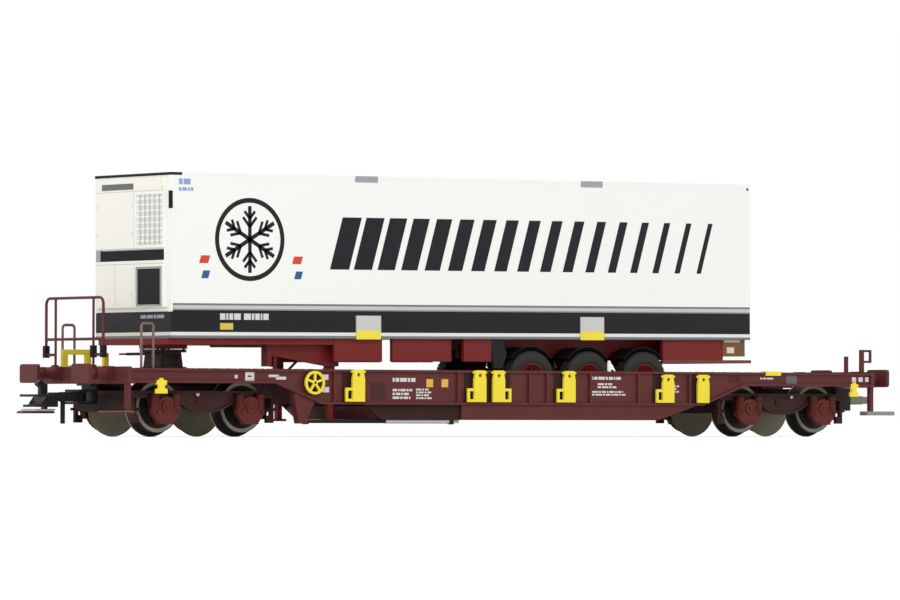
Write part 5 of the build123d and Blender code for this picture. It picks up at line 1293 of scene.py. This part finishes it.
# Sections of a rail wheel as (radius, distance from the track's middle).
WHEEL_SHELL = [(6.04, 7.37), (5.34, 7.96), (5.34, 9.93), (5.2, 9.93), (5.2, 7.9), (5.95, 7.3)]
WHEEL_DISH = [(4.5, 9.93), (1.6, 9.25), (1.6, 9.1), (4.5, 9.8)]
WHEEL_EDGE = [(5.24, 9.8), (5.24, 9.96), (4.75, 9.96), (4.7, 9.8)]
WHEEL_HUB = [(1.7, 8.9), (1.6, 9.35), (1.2, 9.6), (1.15, 10.0)]


def rail_wheels(prefix, body, axle):
    """One wheelset's treads, dished faces and hubs, drawn near black as painted shade, and its tyre edges,
    turned metal drawn lighter as a painted highlight.
    """
    centre = (axle, 0, WHEEL_Z)
    faces, rims, hubs = (bmesh.new() for _ in range(3))
    for side in BOTH:
        out = (0, side, 0)
        ring(faces, centre, out, WHEEL_SHELL, 64)
        ring(faces, centre, out, WHEEL_DISH, 64)
        ring(rims, centre, out, WHEEL_EDGE, 64)
        turned(hubs, centre, out, WHEEL_HUB, 24)
    for name, mesh, material in (
        ("wheel_faces", faces, "wheel_black"),
        ("wheel_rims", rims, "wheel_ring"),
        ("wheel_hubs", hubs, "wheel_black"),
    ):
        finish(f"{prefix}_{name}", mesh, material, body, "blackened_wheels", smooth=True)


def bogie(name, side):
    """One bogie's springs, covers, rivets, mark and beams, and its wheels."""
    body = f"bogie_{name}"
    centre = side * PIVOT_X
    coils, covers, rivets, mark = (bmesh.new() for _ in range(4))
    for face in BOTH:
        for end in BOTH:
            axlebox_dress(coils, covers, rivets, centre + end * HALF_BASE, face)
        frame_rivets(rivets, centre, face)
        guard_irons(rivets, centre, face)
        spot = (centre + side * 2.1, face * 12.4, RAIL + 7.9)
        turned(mark, spot, (0, face, 0), [(0.42, 0), (0.42, 0.1)], 12)
    finish(f"{body}_mark", mark, "pale_print", body, "bogie_brown_plastic")
    inner_beams(body, centre)
    finish(f"{body}_spring_coils", coils, "axlebox_red", body, "bogie_brown_plastic", smooth=True)
    finish(f"{body}_rivets", rivets, "bogie_brown_plastic", body, "bogie_brown_plastic")
    finish(f"{body}_box_covers", covers, "axlebox_red", body, "bogie_brown_plastic")
    for where, end in (("inner", -side), ("outer", side)):
        rail_wheels(f"{body}_{where}", f"wheelset_{name}_{where}", centre + end * HALF_BASE)


def coupler_dress():
    """The bright wire loop under the left coupler, and its pin head, ribs and hook arms."""
    low = RAIL + 4.6
    root, reach, half = -106.6, -110.9, 2.9
    trip = bmesh.new()
    tube(trip, [(root, -half, low), (reach, -half, low), (reach, half, low), (root, half, low)], 0.22)
    finish("coupler_trip_wire", trip, "bright_wire", "coupler", "bright_wire", smooth=True)

    z = RAIL + 7.3
    ribs = bmesh.new()
    turned(ribs, (-END_X - 1.0, 0, z + 0.9), (0, 0, 1), [(0.9, 0), (0.9, 0.1), (0.6, 0.12)], 16)
    for x in (-102.6, -101.2):
        bar(ribs, x - 0.3, x + 0.3, -1.5, 1.5, z - 1.0, z + 1.0)
    for y in (-2.2, 2.2):
        tube(ribs, [(-106.0, y, z - 1.2), (-109.4, y, z - 1.2)], 0.3)
    finish("coupler_ribs", ribs, "black_plastic", "coupler", "black_plastic", bevel=0.04)


def floor():
    """A pale card floor that keeps the shadow and glows a little for the camera alone."""
    reach = FLOOR_REACH
    mesh = bpy.data.meshes.new("floor")
    mesh.from_pydata([(-reach, -reach, 0), (reach, -reach, 0), (reach, reach, 0), (-reach, reach, 0)], [],
                     [(0, 1, 2, 3)])
    card_sheet = bpy.data.objects.new("floor", mesh)
    bpy.context.scene.collection.objects.link(card_sheet)
    card = surface("pale_card", "#F7F7F5", 0.8, mottle=0.0, gleam=0.0)
    mesh.materials.append(card)
    tree = card.node_tree
    path = add(tree, "ShaderNodeLightPath")
    lift = add(tree, "ShaderNodeMath", [(0, path, "Is Camera Ray")], operation="MULTIPLY", in_1=FLOOR_LIFT)
    glow = add(tree, "ShaderNodeEmission", [("Strength", lift, 0)], in_Color=linear("#FFFFFF"))
    diffuse = next(node for node in tree.nodes if node.type == "BSDF_PRINCIPLED")
    output = next(node for node in tree.nodes if node.type == "OUTPUT_MATERIAL")
    summed = add(tree, "ShaderNodeAddShader", [(0, glow, "Emission"), (1, diffuse, "BSDF")])
    tree.links.new(summed.outputs[0], output.inputs["Surface"])


def lamps():
    """Four soft lamps: key, fill, front and top."""
    for name, place, size, power in LAMPS:
        lamp = bpy.data.lights.new(name, "AREA")
        lamp.shape = "DISK"
        lamp.size = size
        lamp.energy = power
        holder = bpy.data.objects.new(name, lamp)
        holder.location = place
        holder.rotation_euler = (Vector(LAMP_AIM) - Vector(place)).to_track_quat("-Z", "Y").to_euler()
        bpy.context.scene.collection.objects.link(holder)


def white_world():
    """An even white world, full white where it is seen and softer where it lights the object."""
    world = bpy.data.worlds.new("even_white")
    bpy.context.scene.world = world
    world.use_nodes = True
    tree = world.node_tree
    tree.nodes.clear()
    path = add(tree, "ShaderNodeLightPath")
    rays = [(0, path, "Is Camera Ray"), (1, path, "Is Glossy Ray")]
    seen = add(tree, "ShaderNodeMath", rays, operation="MAXIMUM")
    seen = add(tree, "ShaderNodeMath", [(0, seen, 0), (1, path, "Is Transmission Ray")], operation="MAXIMUM")
    strength = add(tree, "ShaderNodeMix", [(0, seen, 0)], in_2=WORLD_LIGHT, in_3=1.0)
    light = add(tree, "ShaderNodeBackground", [("Strength", strength, 0)], in_Color=linear("#FFFFFF"))
    add(tree, "ShaderNodeOutputWorld", [("Surface", light, "Background")])


def photograph():
    """The camera of the photograph's view, with its slight roll."""
    yaw, pitch, roll = (math.radians(a) for a in (CAMERA_YAW, CAMERA_PITCH, CAMERA_ROLL))
    back = Vector((math.sin(yaw) * math.cos(pitch), -math.cos(yaw) * math.cos(pitch), math.sin(pitch)))
    right = Vector((math.cos(yaw), math.sin(yaw), 0))
    up = back.cross(right)
    turn = Matrix((right, up, back)).transposed() @ Matrix.Rotation(roll, 3, "Z")
    data = bpy.data.cameras.new("photograph")
    data.lens = CAMERA_LENS
    data.sensor_width = SENSOR
    camera = bpy.data.objects.new("photograph", data)
    camera.matrix_world = Matrix.Translation(CAMERA_PLACE) @ turn.to_4x4()
    bpy.context.scene.collection.objects.link(camera)
    bpy.context.scene.camera = camera


dress_nodes()
leaning_bars()
snow_star()
flashes()
small_box_marks()
roof_edge_plates()
box_edge_trims()
front_edge_marks()
roof_seams()
unit_grille()
unit_openings()
unit_panels()
unit_marks()
door_lock_bars()
door_seals()
rear_lenses()
road_axles()
road_springs()
chassis_shaft_and_braces()
side_panel_edges()
landing_gear()
mudguards()
third_side_panels()
for near_or_far in BOTH:
    sill_marks(near_or_far)
sill_hatches()
lug_fittings()
sill_bolts()
sill_marker_post()
spigots()
handwheel_backs()
deck_tread()
buffer_bolts()
railing_clamps()
step_treads()
far_deck_stop()
stub_cap()
brake_rod_dress()
rod_and_hitch_fittings()
bogie("left", -1)
bogie("right", 1)
coupler_dress()
floor()
lamps()
white_world()
photograph()
bpy.context.scene.view_settings.view_transform = "Standard"
